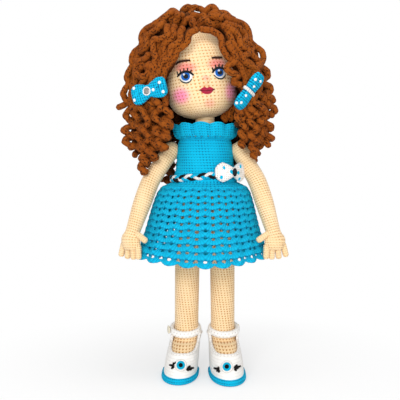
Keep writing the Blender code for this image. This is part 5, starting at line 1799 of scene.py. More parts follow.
@dataclass
class Face:
    """The stuffed head with its embroidered and tinted face."""

    form: HeadForm = field(default_factory=HeadForm)
    columns: int = 54
    rows: int = 40
    eyes: tuple[Eye, ...] = (
        Eye("right", ((179.4, 77.6), (181.0, 74.6), (185.4, 72.3), (190.0, 73.2), (192.8, 76.2),
                      (191.6, 79.8), (188.2, 82.4), (185.2, 82.6), (181.6, 80.6)),
            (185.9, 76.4, 4.5), (184.5, 74.7, 1.15),
            ((180.0, 79.5), (182.6, 81.9), (186.5, 83.0), (189.8, 81.8), (192.2, 78.8)),
            ((177.6, 77.2), (180.4, 73.9), (184.0, 72.1), (188.0, 71.9), (191.4, 73.3), (193.9, 75.6)),
            ((178.6, 75.9, 177.2, 71.3), (181.2, 73.7, 180.3, 69.5), (184.2, 72.3, 184.0, 68.2),
             (187.6, 72.0, 188.0, 67.9), (190.4, 72.8, 191.6, 69.6)),
            ((176.0, 65.0), (179.2, 62.2), (184.6, 60.9), (190.6, 60.4))),
        Eye("left", ((213.4, 73.4), (215.2, 70.4), (218.6, 68.6), (222.4, 69.6), (224.9, 72.4),
                     (224.6, 75.6), (221.6, 78.4), (218.4, 78.2), (215.2, 76.2)),
            (219.0, 72.6, 4.2), (218.2, 70.9, 1.1),
            ((213.9, 75.2), (216.6, 77.8), (220.4, 79.0), (223.4, 77.6), (225.2, 74.4)),
            ((211.9, 73.2), (213.9, 70.3), (217.0, 68.3), (220.2, 68.0), (223.2, 69.2), (225.0, 71.4)),
            ((213.2, 71.2, 211.8, 67.3), (215.8, 69.0, 215.2, 64.7), (218.6, 68.1, 218.8, 63.5),
             (221.4, 68.4, 222.4, 64.5), (223.8, 69.9, 225.6, 67.0)),
            ((211.2, 58.1), (214.6, 57.8), (218.4, 57.7), (221.8, 57.7))),
    )
    blushes_and_shade: tuple[FaceTint, ...] = (
        FaceTint(180.8, 96.0, 8.0, 7.8, (1.08, 0.42, 1.16), 1.0),
        FaceTint(231.4, 91.5, 5.6, 9.4, (1.09, 0.50, 1.34), 1.0),
        FaceTint(185.6, 67.6, 10.5, 5.6, (1.0, 0.42, 0.66), 0.95),
        FaceTint(217.4, 63.8, 9.0, 5.6, (1.0, 0.42, 0.66), 0.95),
        FaceTint(205.6, 78.2, 3.2, 2.8, (1.0, 0.58, 0.74), 0.8),
        # Painted shade under the nose.
        FaceTint(206.2, 85.4, 5.0, 2.0, (0.88, 0.66, 0.60), 0.6),
        FaceTint(209.6, 103.0, 5.0, 4.4, (1.0, 0.60, 0.78), 0.7),
    )
    upper_lip: tuple[tuple[float, float], ...] = (
        (199.2, 90.2), (202.0, 88.0), (204.6, 86.8), (206.9, 87.9), (209.4, 86.6), (212.0, 87.6),
        (214.5, 89.6), (211.0, 90.6), (206.9, 91.0), (202.6, 91.0),
    )
    lower_lip: tuple[tuple[float, float], ...] = (
        (200.6, 90.8), (203.6, 90.7), (206.9, 90.9), (210.4, 90.4), (213.2, 90.0), (211.6, 92.6),
        (209.2, 93.9), (206.6, 94.2), (203.8, 93.6), (201.6, 92.2),
    )
    mouth_line: tuple[tuple[float, float], ...] = (
        (199.0, 90.2), (202.6, 90.8), (206.9, 90.7), (210.8, 90.2), (214.7, 89.4),
    )

    def build(self) -> None:
        """Add the head, then each feature of the face."""
        surface = self.form.surface()
        fabric = Fabric(self.columns, self.rows, depth=0.34 * MM, contrast=1.5)
        head = crochet("head_face", surface, fabric, pole_fade(self.columns, surface))
        paint(head.data, "tint", self.tint(coordinates(head.data)))
        finish_piece(head, FACE, "head", ["head"])
        mesh, u, v = grid_mesh("face_probe", 160, 120)
        place_points(mesh, surface(u, v))
        self.tree = tree_of(mesh)
        bpy.data.meshes.remove(mesh)
        for eye in self.eyes:
            self.build_eye(eye)
        self.build_mouth()

    def tint(self, points: Array) -> Array:
        """Return the colour that multiplies the yarn at each point: pink of cheeks, nose and chin, eye
        shadow and the painted shade under the nose.
        """
        pixels = CAMERA.pixels(points)
        ahead = (points[:, 1] < NECK.y)[:, None]
        colour = np.ones((len(points), 3))
        for tint_mark in self.blushes_and_shade:
            away = (pixels - (tint_mark.column, tint_mark.row)) / (tint_mark.wide, tint_mark.tall)
            near = np.exp(-((np.sum(away**2, axis=1)) ** 1.8) * 0.9)
            share = near[:, None] * tint_mark.strength * ahead
            colour *= 1 - share * (1 - np.array(tint_mark.colour))
        return colour

    def hit(self, column: float, row: float) -> tuple[Vector, Vector]:
        """Return the place on the head that a pixel shows, and the way out of it."""
        spot, normal, *_ = self.tree.ray_cast(*CAMERA.ray(column, row))
        return spot, normal if normal.dot(CAMERA.place - spot) > 0 else -normal

    def patch(self, name: str, outline: Sequence[tuple[float, float]], finish: YarnFinish,
              lift: float, rise: float, stitches: float = 3.0) -> None:
        """Add a patch of satin stitches on the face.

        Args:
            name: The patch's name.
            outline: Its edge, in pixels.
            finish: Its yarn.
            lift: How high its edge lies over the head.
            rise: How much higher its middle is.
            stitches: How many strands lie in one pixel's width, over three.
        """
        ring = spline([*outline, *outline[:1]], 120, measured=2)
        middle = ring[:-1].mean(axis=0)
        mesh, u, v = grid_mesh(name, 64, 16)
        top = np.clip(v / 0.7, 0, 1)
        share = np.where(v < 0.7, top, 1 - (v - 0.7) / 0.3)
        edge = np.stack([np.interp(u, np.linspace(0, 1, len(ring)), column) for column in ring.T], 1)
        pixels = middle + (edge - middle) * share[:, None]
        thread = 0.5 + 0.5 * np.cos(math.tau * (pixels[:, 0] + 0.25 * pixels[:, 1]) * stitches / 3)
        height = np.where(v < 0.7, lift + rise * (1 - top**4) + thread * 0.12 * MM, -0.5 * MM)
        points = np.empty((len(u), 3))
        for index, (column, row) in enumerate(pixels):
            spot, normal = self.hit(column, row)
            points[index] = spot + normal * height[index]
        place_points(mesh, points)
        # Painted shade between the satin stitch threads.
        paint(mesh, "relief", 0.25 + 0.6 * thread)
        scale_uv(mesh, 12, 3)
        close_up(mesh)
        finish_piece(new_object(name, mesh), finish, "head")

    def line(self, name: str, pixels: Sequence[tuple[float, float]], radius: float,
             finish: YarnFinish, lift: float, shares: Sequence[float] = (1, 1)) -> None:
        """Add a line of backstitch on the face.

        Args:
            name: The line's name.
            pixels: Its course in the photograph.
            radius: Half its width.
            finish: Its yarn.
            lift: How high its middle lies over the head.
            shares: Its thickness from end to end, as shares of the radius.
        """
        spots = []
        for column, row in spline(pixels, 14, measured=2):
            spot, normal = self.hit(column, row)
            spots.append(tuple(spot + normal * lift))
        length = sum(math.dist(a, b) for a, b in zip(spots, spots[1:]))
        rows = max(round(length / (2.2 * MM)), 2)
        fabric = Fabric(4, rows, Stitch.CORD, 0.14 * MM, across=3, along=6)
        item = cord_mesh(name, spline(spots, 60), radius, fabric, np.array(shares, float))
        finish_piece(item, finish, "head")

    def build_eye(self, eye: Eye) -> None:
        """Add the white, iris, pupil, shine, lines, lashes and brow of an eye."""
        column, row, size = eye.iris

        def circle(scale: float, middle: tuple[float, float]) -> list[tuple[float, float]]:
            """Return the edge of a round patch."""
            return [(middle[0] + scale * math.cos(angle), middle[1] + scale * math.sin(angle))
                    for angle in np.linspace(0, math.tau, 17)[:-1]]

        self.patch(f"eye_{eye.name}_white", eye.white, SNOW, 0.35 * MM, 0.35 * MM)
        self.patch(f"eye_{eye.name}_iris", circle(size, (column, row)), IRIS, 0.75 * MM, 0.45 * MM)
        self.patch(f"eye_{eye.name}_pupil", circle(size * 0.56, (column + 0.3, row + 0.2)), INK,
                   1.1 * MM, 0.5 * MM)
        self.patch(f"eye_{eye.name}_shine", circle(eye.shine[2], eye.shine[:2]), SNOW,
                   1.5 * MM, 0.5 * MM)
        self.line(f"eye_{eye.name}_under", eye.under, 0.55 * MM, INK, 0.7 * MM, (0.6, 1, 1, 0.6))
        self.line(f"eye_{eye.name}_lid", eye.lid, 1.15 * MM, INK, 0.8 * MM, (0.6, 1, 1.1, 1, 0.65))
        for index, lash in enumerate(eye.lashes):
            pair = (lash[:2], ((lash[0] + lash[2]) / 2, (lash[1] + lash[3]) / 2), lash[2:])
            self.line(f"eye_{eye.name}_lash_{index}", pair, 0.62 * MM, INK, 0.55 * MM,
                      (1.1, 1, 0.7))
        self.line(f"eye_{eye.name}_brow", eye.brow, 1.15 * MM, BROW, 0.5 * MM, (0.6, 1, 1, 0.8))

    def build_mouth(self) -> None:
        """Add the two lips and the line between them."""
        self.patch("lip_upper", self.upper_lip, LIPS, 0.45 * MM, 1.2 * MM, 4)
        self.patch("lip_lower", self.lower_lip, LIPS, 0.45 * MM, 1.4 * MM, 4)
        self.line("mouth_line", self.mouth_line, 0.5 * MM, LINE, 1.0 * MM, (0.8, 1, 1, 0.8))


# Hair


@dataclass(frozen=True)
class HairRing:
    """The outline of the hair at one height: reaches in mm from the doll's axis."""

    height: float
    right: float
    left: float
    front: float
    back: float
    right_edge: float  # where the hair starts beside the face, on the doll's right
    left_edge: float


RINGS = (
    HairRing(389, 22, 8, 14, 16, -6.5, -6.5),
    HairRing(384, 41, 22, 24, 26, -6.5, -6.5),
    HairRing(377, 54, 36, 32, 34, -6.5, -6.5),
    HairRing(371, 61, 42, 37, 39, -8.0, 5.0),
    HairRing(364, 65, 45, 40, 43, -14.5, 14.0),
    HairRing(351, 69.5, 52, 43, 47, -20.0, 18.5),
    HairRing(338, 75, 58, 44, 50, -30.0, 25.5),
    HairRing(325, 78, 63, 43, 51, -39.0, 34.0),
    HairRing(312, 80, 66, 41, 52, -42.0, 37.5),
    HairRing(300, 81, 69, 38, 52, -41.5, 38.5),
    HairRing(287, 80, 69, 36, 51, -39.0, 36.0),
    HairRing(274, 78, 65, 34, 50, -39.0, 37.0),
    HairRing(261, 77, 64, 32, 48, -40.0, 39.0),
    HairRing(248, 76, 63, 30, 46, -42.0, 41.0),
    HairRing(225, 74, 61, 28, 44, -44.0, 43.0),
    HairRing(200, 72, 59, 27, 42, -46.0, 45.0),
)


@dataclass(frozen=True)
class Strand:
    """One lock: where it hangs round the head and how it curls."""

    share: float  # from the face, 0, round to the middle of the back, 1
    tail: float  # height of its end, mm
    curl_from: float  # height at which its corkscrew starts, mm
    lift: float  # outwards from the hair's outline, mm


LockRow = tuple[float, float, float, float]  # share, tail, start of the curls, lift

RIGHT_LOCKS: tuple[LockRow, ...] = (
    (0.45, 236, 288, -1.6), (0.54, 234, 296, -0.4), (0.62, 218, 286, -0.8), (0.70, 208, 298, 1.2),
    (0.78, 200, 288, -0.6), (0.86, 210, 294, 1.0), (0.95, 206, 286, 0.0),
)
RIGHT_INNER: tuple[LockRow, ...] = (
    (0.02, 254, 284, -8.0), (0.10, 246, 276, -9.0), (0.18, 242, 290, -8.0), (0.26, 246, 280, -9.0),
    (0.35, 250, 288, -9.0), (0.48, 240, 288, -9.0), (0.60, 224, 282, -10.0),
    (0.72, 216, 280, -10.0), (0.84, 212, 286, -10.0), (0.96, 279, 300, -10.0),
)
LEFT_LOCKS: tuple[LockRow, ...] = (
    (0.44, 240, 290, -1.6), (0.52, 238, 298, -0.6), (0.60, 226, 286, 1.4), (0.68, 232, 294, -0.6),
    (0.76, 222, 288, 1.2), (0.84, 228, 296, -0.4), (0.92, 220, 286, 1.0), (1.0, 224, 290, 0.0),
)
LEFT_INNER: tuple[LockRow, ...] = (
    (0.02, 267, 286, -8.0), (0.10, 252, 278, -9.0), (0.18, 250, 286, -8.0), (0.26, 252, 280, -9.0),
    (0.36, 252, 286, -9.0), (0.48, 244, 284, -9.0), (0.60, 230, 286, -9.0),
    (0.72, 218, 280, -10.0), (0.86, 279, 300, -10.0),
)


@dataclass(frozen=True)
class Trace:
    """A lock as it runs in the photograph, from its top down."""

    lift: float  # in front of the hair's outline, mm
    curl_row: float  # the pixel row below which it is a corkscrew
    low_lift: float  # the lift of its corkscrew, mm
    spots: tuple[tuple[float, float], ...]  # pixel columns and rows


RIGHT_TRACES: tuple[Trace, ...] = (
    Trace(0.4, 98, 3.0, (
        (199, 28.5), (194, 30.8), (190, 33), (188.2, 37), (187.6, 41.5), (183, 46), (177, 51),
        (175, 57), (172, 61), (168.4, 65), (164.8, 70), (163.6, 75), (161, 81), (159, 88),
        (161, 94), (165, 99), (165.5, 103.5), (163, 108), (169.6, 112.5), (170.6, 116),
        (164, 119.6), (170.5, 123.4), (171, 126), (164.5, 130), (168.5, 134.5))),
    Trace(3.2, 98, 7.0, (
        (185.2, 27), (181.3, 30), (180.1, 34.7), (180.6, 39.8), (177, 43.4), (171.9, 46.4),
        (170.4, 51), (170.5, 55.5), (167, 58.6), (163, 61), (160.5, 64.5), (160, 69), (157, 75),
        (153, 83), (151, 92), (154, 99), (159.5, 104.5), (161, 108.5), (155, 113), (153.6, 117),
        (160, 121.6), (166.6, 126), (155.5, 128.6), (154.6, 131.5), (161, 134.9), (168, 137.6),
        (158, 139.4), (157, 142.5), (161.5, 145.5), (166, 147.4), (160, 149.4))),
    Trace(-0.4, 98, 1.0, (
        (176, 24.5), (174, 28), (173, 31.5), (175, 35), (171.9, 39.3), (165.8, 42.9),
        (163.4, 46.4), (164.6, 51), (165, 55), (161.7, 59.2), (157, 62), (154.5, 66.5),
        (151, 72), (146, 79), (142, 88), (143.5, 96), (148.3, 100.8), (153, 106), (153.2, 110),
        (147.6, 112.6))),
    Trace(3.0, 104, 5.5, (
        (168.6, 24), (167.3, 27), (166.8, 31), (168, 35), (163.8, 37.8), (158.7, 39.3),
        (154, 39.4), (152.8, 43.4), (153.4, 48.5), (153.6, 53.1), (156, 57), (154.6, 62),
        (155.6, 67), (150, 73), (144, 80), (139, 90), (137, 99), (139.3, 105.9), (142.5, 110),
        (145, 115), (148.8, 120.5), (147.6, 124.4), (141.6, 128), (145.5, 132.6), (150, 137),
        (147.6, 140.6), (141.6, 144.4), (146, 149), (151, 153.5), (143, 155.5), (141, 158.5),
        (147, 162.5), (141, 164.5),
        (140, 167.5), (145.6, 171.5), (140.4, 173.4))),
    Trace(2.0, 136, 2.0, (
        (156, 132), (151, 137), (153, 142), (158.5, 147), (151, 149.6), (150.6, 153), (156, 157.5),
        (150.6, 159.6))),
    Trace(-0.6, 104, -3.0, (
        (165, 20.5), (160.9, 25.3), (156.6, 29.6), (151.5, 32.7), (147.6, 36), (147.2, 40.8),
        (147.6, 45.4), (144.2, 50), (138.8, 53.1), (135.6, 56.6), (136, 60.5), (140.5, 62),
        (143, 65.5), (139, 70), (135, 73), (136, 79), (133.5, 87), (131, 95), (132, 103),
        (137, 108), (133, 113), (139, 119), (136, 124), (142, 130), (136, 135.5), (142, 142),
        (138, 147), (145, 152))),
    Trace(2.0, 84, 1.0, (
        (178, 17), (177, 13.5), (172.4, 10.7), (168.4, 13.8), (163.8, 17.3), (160.2, 20.2),
        (155.6, 24), (150.5, 26.5), (146.4, 28.8), (142.9, 32.7), (141.3, 37.8), (142, 42.9),
        (140, 47.4), (136, 50.5), (132.9, 54.6), (131.6, 60.2), (132.6, 65), (129.6, 70),
        (126.8, 77), (128.5, 83.6), (125.3, 88.7), (123, 93.8), (125.3, 98.9), (128, 102.8),
        (122.6, 105.6), (117.4, 107.8))),
    Trace(-3.0, 106, 0.0, (
        (146, 30), (146, 40), (140, 52), (136, 62), (133, 70), (131, 78), (132, 86), (133, 94),
        (131, 102), (133, 107), (128.6, 110.4), (125.4, 115.5), (129.6, 120.6), (134.6, 125.5),
        (126.6, 127.8), (123.2, 130.2), (128.5, 134), (134, 137.2), (126, 138.8), (124.4, 141.6),
        (129.5, 145), (135, 146.4), (129, 148))),
    Trace(3.4, 56, 3.4, (
        (150, 52), (146, 58), (140, 61.5), (136, 66), (135.6, 72), (139.5, 76.6), (145.5, 76.4),
        (149, 71.5), (146.5, 66.5), (150, 64), (153, 70), (152, 78), (149, 88))),
    Trace(-3.4, 98, -4.0, (
        (170, 34), (166, 39), (161, 42.6), (159.4, 46), (160.4, 51), (159.6, 56), (157, 61),
        (152, 65), (149, 71), (147, 79), (146, 88), (148, 97), (144, 102), (149, 108),
        (152, 114), (147, 119), (153, 126), (149, 132), (155, 139), (150, 146), (153, 151))),
)
LEFT_TRACES: tuple[Trace, ...] = (
    Trace(0.4, 84, 3.0, (
        (199, 28.5), (204.2, 29.6), (210.3, 30.4), (216, 33), (220, 36.4), (221.6, 40.5),
        (221.8, 45), (223, 49.5), (225.6, 54), (229.4, 58.5), (236, 62), (240.8, 67),
        (242.5, 73), (245.5, 79), (245, 86), (243, 95), (241, 102), (237.6, 108),
        (241, 113), (236.6, 116.4), (240, 121))),
    Trace(4.0, 60, 3.0, (
        (227, 41), (229.5, 46), (232.5, 50.5), (235, 55), (236.4, 59.5), (233, 62.8),
        (228.6, 65), (227, 69), (230.5, 72.5), (235.6, 74), (238, 76.5), (234.4, 79),
        (233.4, 82), (237, 83.8), (241.4, 85.4), (245.5, 89), (248, 94))),
    Trace(0.0, 98, 6.5, (
        (221, 24.5), (226.2, 28), (228.4, 33), (230.9, 38), (232.4, 42.5), (235.4, 47),
        (239, 51), (241, 56), (244.5, 60), (249, 62.5), (252, 66), (250, 70.5), (248, 75),
        (251, 80), (251, 89), (252, 96), (254, 101), (259, 105), (263.8, 109), (266, 113.5),
        (264.5, 117.6), (259.4, 120.4), (265.5, 123), (271.6, 126.4), (271, 129),
        (263.6, 129.6), (261.6, 132.2), (267, 135), (272.2, 138.4), (266.4, 139.8), (265.4, 142),
        (269.6, 146.4))),
    Trace(3.6, 88, -2.0, (
        (225.4, 25.5), (231, 29.5), (235.5, 32.5), (238.5, 37), (239.8, 42), (241.8, 46.5),
        (246.5, 48.6), (249, 52.8), (245.2, 55.2), (242.4, 58.4), (246, 62.6), (250.5, 66),
        (255.4, 70), (253.4, 76), (256, 82), (258.5, 88), (257.4, 92.6), (262, 96),
        (264.4, 100.4), (259.6, 103.6), (258, 109), (262, 116), (258, 122), (262.6, 129),
        (258.4, 135), (262, 142))),
    Trace(0.4, 64, 0.5, (
        (223.6, 22.6), (229, 24.6), (235, 26.5), (240, 29.3), (244.3, 33.5), (246, 38),
        (243.8, 42), (248.5, 44.5), (251.8, 48), (251, 53), (254.5, 57.5), (258.8, 62),
        (257, 65.6), (262, 67.2), (267.2, 71), (268, 76), (262.5, 80.5), (264, 83.6),
        (270, 86.6), (271, 91), (265, 93.6), (266, 95.6), (271.6, 97.6), (273.2, 100.4),
        (267.4, 103), (268.4, 105.2), (274, 107.6), (275.4, 111), (270.6, 113.6), (273, 117))),
    Trace(3.0, 98, 4.0, (
        (228, 19), (235.8, 21.4), (241.9, 23.5), (246.2, 27), (248.5, 31.6), (249.6, 36.7),
        (250, 41), (253, 44.6), (257, 47.8), (261.2, 50.8), (263.2, 55.5), (262.8, 60.5),
        (259.8, 65), (256.8, 69), (259, 74), (262, 79), (259.4, 84), (259.6, 89), (256, 95),
        (253, 100), (249.4, 104), (249, 107.5), (254, 111.3), (257.4, 114.5), (250.2, 118),
        (249, 121), (254, 125.2), (257.8, 129.4), (254.6, 131.6), (249, 134.4), (254, 138.4),
        (258, 141.6), (251.6, 144.4), (251, 147.4), (257, 152), (252.4, 154.6), (255.6, 157.5))),
    Trace(-3.4, 100, 0.0, (
        (236, 44), (240, 52), (244, 60), (244, 68), (247, 76), (248, 84), (248, 92),
        (245.6, 100), (242.6, 106), (245.4, 110.6), (248, 114.6), (242.4, 118.6), (241.4, 123),
        (246, 128.6), (240.4, 133), (245.4, 139), (240.5, 143.5), (244, 147))),
    Trace(-27, 100, -27, (
        (246, 92), (243, 99), (237, 105), (231.6, 110.6), (229.6, 115), (232.3, 121))),
    Trace(-30, 100, -30, (
        (242, 98), (236, 105.5), (229, 112), (223.6, 117), (226.6, 121.6))),
)


@dataclass
class Hair:
    """The corkscrew locks over their cap and inner hair."""

    radius: float = 2.95 * MM
    helix: float = 4.5 * MM
    pitch: float = 11.2 * MM
    ring: float = 3.1 * MM  # height of one row of a lock
    crown: float = 386.5 * MM  # where the locks behind and beside start
    root: float = 372 * MM  # height from which the locks shorten
    clear: dict[str, float] = field(default_factory=lambda: {
        "shoulder_left": 257 * MM, "shoulder_right": 257 * MM, "neck_turn": 242 * MM,
    })  # height above which a lock stays out of the way at a joint's limit
    inner_clear: float = 255 * MM  # the same for the inner locks beside the arms
    ruffle_clear: float = 273 * MM  # the same for the lock over the ruffle
    opening: tuple[float, float] = (298 * MM, 71.5 * MM)  # foot and height of the cap's opening
    inner: tuple[float, float] = (262 * MM, 383.5 * MM)  # foot and top of the inner hair
    head: HeadForm = field(default_factory=HeadForm)

    def __post_init__(self) -> None:
        """Measure the rings and seed the locks' waves."""
        self.heights = np.array([ring.height for ring in RINGS][::-1]) * MM
        self.random = np.random.default_rng(20)

    def at(self, name: str, height: Array) -> Array:
        """Read one of the rings' reaches at a height."""
        values = np.array([getattr(ring, name) for ring in RINGS][::-1]) * MM
        return np.interp(height, self.heights, values)

    def parting(self, height: Array) -> Array:
        """Return how far the middle of the hair is from the neck's axis at a height."""
        return -6.5 * MM * smooth(height, 0.335, 0.372)

    def spot(self, side: int, share: Array, height: Array, lift: Array) -> Array:
        """Return points on the hair's outline.

        Args:
            side: 1 for the doll's left, -1 for its right.
            share: From 0 beside the face round to 1 at the middle of the back.
            height: The height of each point.
            lift: How far outwards each point is from the outline.

        Returns:
            Points in the row frame.
        """
        name = "left" if side > 0 else "right"
        middle = self.parting(height)
        reach = self.at(name, height) - side * middle
        edge = self.at(f"{name}_edge", height) + side * self.radius
        start = -np.arccos(np.clip(side * (edge - middle) / reach, 0.0, 1))
        angle = start + (math.pi / 2 - start) * share
        front, back = self.at("front", height), self.at("back", height)
        deep = np.where(angle < 0, front, back)
        x = middle + side * (reach + lift) * np.cos(angle)
        y = (deep + lift) * np.sin(angle)
        level = np.clip((height - self.head.middle) / self.head.rise, -0.4, 1)
        flat = np.sqrt(np.clip(1 - np.abs(level) ** 2.1, 0, 1))
        lean = np.tan(self.head.tilt) * (height - NECK.z)
        inside = np.clip(1 - ((x - lean) / (self.head.half_width * flat + 1e-5)) ** 2, 0, 1)
        close = -self.head.half_depth * flat * np.sqrt(inside) - 4.6 * MM - np.maximum(lift, 0)
        pull = (1 - smooth(share, 0.0, 0.34)) * smooth(height, 0.300, 0.330)
        y = np.where(y < close, y + (close - y) * pull, y)
        return np.stack([x + NECK.x, y + NECK.y, height + 0 * x], axis=-1)

    def depth_at(self, x: float, z: float) -> float:
        """Return the y of the hair's outline, or just before the head, at a place."""
        middle = float(self.parting(z))
        away = x - NECK.x - middle
        side = 1 if away > 0 else -1
        reach = float(self.at("left" if side > 0 else "right", z)) - side * middle
        y = -float(self.at("front", z)) * math.sqrt(max(1 - (away / reach) ** 2, 0))
        level = min(max((z - self.head.middle) / self.head.rise, -0.4), 1)
        flat = math.sqrt(max(1 - abs(level) ** 2.1, 0)) + 1e-4
        lean = math.tan(-self.head.tilt) * (z - NECK.z)
        inside = 1 - ((x - NECK.x + lean) / (self.head.half_width * flat)) ** 2
        close = -self.head.half_depth * flat * math.sqrt(max(inside, 0)) - 3.6 * MM
        return min(y, close if z > 0.300 else y) + NECK.y

    def traced(self, trace: Trace) -> Array:
        """Return the middle line of a lock followed in the photograph."""
        rows = []
        for step, (column, row) in enumerate(trace.spots):
            fall = min(max((row - trace.curl_row + 14) / 14, 0), 1)
            more = fall * (trace.low_lift - trace.lift) * MM
            rows.append((column, row, more))
            if row >= trace.curl_row and step + 1 < len(trace.spots):
                beside, below = trace.spots[step + 1]
                swing = min(max((beside - column) * 0.6, -5), 5) * MM
                rows.append(((column + beside) / 2, (row + below) / 2, swing + more))
        points = []
        for column, row, swing in rows:
            deep = NECK.y - 20 * MM
            for _ in range(4):
                place = CAMERA.at_depth(column, row, deep)
                deep = self.depth_at(place.x, place.z) - trace.lift * MM
            points.append(tuple(CAMERA.at_depth(column, row, deep - swing)))
        return spline(points, 700)

    def path(self, side: int, strand: Strand) -> Array:
        """Return the middle line of a lock."""
        first = self.crown
        drop = np.concatenate([
            np.linspace(first, 372 * MM, 7), np.linspace(366 * MM, strand.tail * MM, 22),
        ])
        fade = smooth(first - drop, 4 * MM, 30 * MM)
        beat = math.tau * (first - drop) / (self.random.uniform(22, 34) * MM)
        phase, other = self.random.uniform(0, math.tau, 2)
        straight = smooth(drop, (strand.curl_from - 14) * MM, strand.curl_from * MM)
        edge = 0.35 if strand.share < 0.03 else 1.0
        wide = self.random.uniform(2.8, 4.6) * MM * edge
        swing = fade * straight * (wide * np.sin(beat + phase))
        deep = fade * straight * (2.4 * MM * edge * np.sin(beat * 1.3 + other))
        share = np.clip(strand.share + swing / (95 * MM), -0.01, 1.02)
        points = self.spot(side, share, drop, strand.lift * MM * fade + deep)
        line = spline([tuple(point) for point in points], 600)
        return self.curled(line, side, strand.curl_from * MM)

    def curled(self, line: Array, side: int, curl_from: float) -> Array:
        """Wind the lower part of a line into a corkscrew."""
        run = np.concatenate([[0], np.cumsum(np.linalg.norm(np.diff(line, axis=0), axis=1))])
        start = np.interp(-curl_from, -line[:, 2], run)
        along = unit(np.gradient(line, axis=0))
        first = unit(np.cross(along, (0.0, 1.0, 0.1)))
        second = np.cross(along, first)
        beyond = run - start
        pitch = self.pitch * self.random.uniform(0.9, 1.15)
        reach = self.helix * self.random.uniform(0.78, 1.12)
        size = reach * smooth(beyond, 0, pitch * 0.8)
        way = side if self.random.random() < 0.65 else -side
        angle = way * math.tau * beyond / pitch + self.random.uniform(0, math.tau)
        offset = first * np.cos(angle)[:, None] + second * np.sin(angle)[:, None]
        sway = self.random.uniform(-1, 1, (2, 2)) * 4.5 * MM
        loose = np.clip(beyond, 0, None)
        bend = np.sin(loose / (16 * MM) + self.random.uniform(0, math.tau)) * smooth(loose, 0, 0.03)
        drift = np.stack([sway[0, 0] * bend, sway[0, 1] * bend, 0 * bend], axis=-1)
        return line + offset * size[:, None] + drift

    def cord(self, name: str, path: Array, nodes: Sequence[str] = (),
             finish: YarnFinish = BROWN, joint: str = "", clear: float = 0.0) -> None:
        """Add one crocheted cord of hair, with a mesh of its own if its end hangs below the height it
        should clear.

        Args:
            name: The cord's name.
            path: Its middle line.
            nodes: The CAD nodes that it stands for.
            finish: Its yarn.
            joint: The joint whose height its end is measured against.
            clear: The height that its end is measured against, or the joint's own for 0.
        """
        length = float(np.linalg.norm(np.diff(path, axis=0), axis=1).sum())
        rows = max(round(length / self.ring), 4)
        fabric = Fabric(5, rows, Stitch.PITTED, 0.55 * MM, across=3, along=3)
        item = cord_mesh(name, path, self.radius, fabric)
        finish_piece(item, finish, "head", nodes)
        lowest = coordinates(item.data)[:, 2].min()
        clear = clear or self.clear.get(joint, 0.0)
        if lowest < clear:
            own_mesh(item)

    def build(self) -> None:
        """Add the cap, the inner hair, the locks and the bundle on top."""
        self.build_cap()
        self.build_inner()
        self.build_locks()
        self.build_top()

    def build_cap(self) -> None:
        """Add the crocheted cap that the locks are sewn to."""
        surface = self.head.surface(1.6 * MM, nose=False, low=-0.25)
        fabric = Fabric(64, 34, depth=0.5 * MM, across=4, along=4)
        cap = crochet("cap_crochet", surface, fabric, pole_fade(64, surface))
        points = coordinates(cap.data)
        low, tall = self.opening
        high = np.clip((points[:, 2] - low) / tall, 0, 1)
        side = points[:, 0] - NECK.x + 4 * MM * high
        half = np.where(side < 0, 41 * MM, 36 * MM) * (1 - high**2.4) ** (1 / 2.4)
        open_face = (points[:, 1] < NECK.y - 3 * MM) & (np.abs(side) < half)
        cut_away(cap.data, open_face)
        add_wall(cap, 1.0 * MM)
        # The cap takes the darker brown yarn, as painted shade under the locks.
        finish_piece(cap, SHADED_BROWN, "head", ["hair_cap"])

    def build_inner(self) -> None:
        """Add the inner hair, as a dense layer of strands on each side and behind."""
        parts = (
            ("hair_inner_left", ((1, 0.03), (1, 0.72)), "hair_under_left", 11),
            ("hair_inner_right", ((-1, 0.72), (-1, 0.07)), "hair_under_right", 12),
            ("hair_inner_back", ((1, 0.70), (-1, 0.70)), "hair_under_back", 10),
        )
        for name, (start, end), node, strands in parts:
            mesh, u, v = grid_mesh(name, strands * 10, 70)
            foot, top = self.inner
            height = foot + (top - foot) * np.sin(v * math.pi / 2) ** 0.85
            if start[0] == end[0]:
                side = np.full(len(u), start[0])
                share = start[1] + (end[1] - start[1]) * u
            else:
                side = np.where(u < 0.5, start[0], end[0])
                share = np.where(u < 0.5, start[1] + (1 - start[1]) * u * 2,
                                 1 - (1 - end[1]) * (u * 2 - 1))
            wave = 0.22 * np.sin(height / (4.4 * MM) + 2.4 * np.sin(u * 9))
            column = u * strands + wave
            ridge = np.abs(np.cos(np.pi * column)) ** 0.7
            low = 6.5 * MM * (1 - smooth(height, foot, 0.300))
            points = np.empty((len(u), 3))
            for one in (-1, 1):
                chosen = side == one
                lift = (-8.0 * MM + 2.2 * MM * ridge - low)[chosen]
                points[chosen] = self.spot(one, share[chosen], height[chosen], lift)
            place_points(mesh, points)
            pits = pitted(column * 2, height / self.ring)
            # Painted shade: the inner hair's relief stays low, darkest between its strands.
            paint(mesh, "relief", ridge * 0.34 * (0.4 + 0.6 * pits))
            scale_uv(mesh, strands, 40)
            close_up(mesh, poles=False)
            item = new_object(name, mesh)
            add_wall(item, 1.5 * MM)
            # The inner hair takes the darker brown yarn, as painted shade.
            finish_piece(item, SHADED_BROWN, "head", [node])

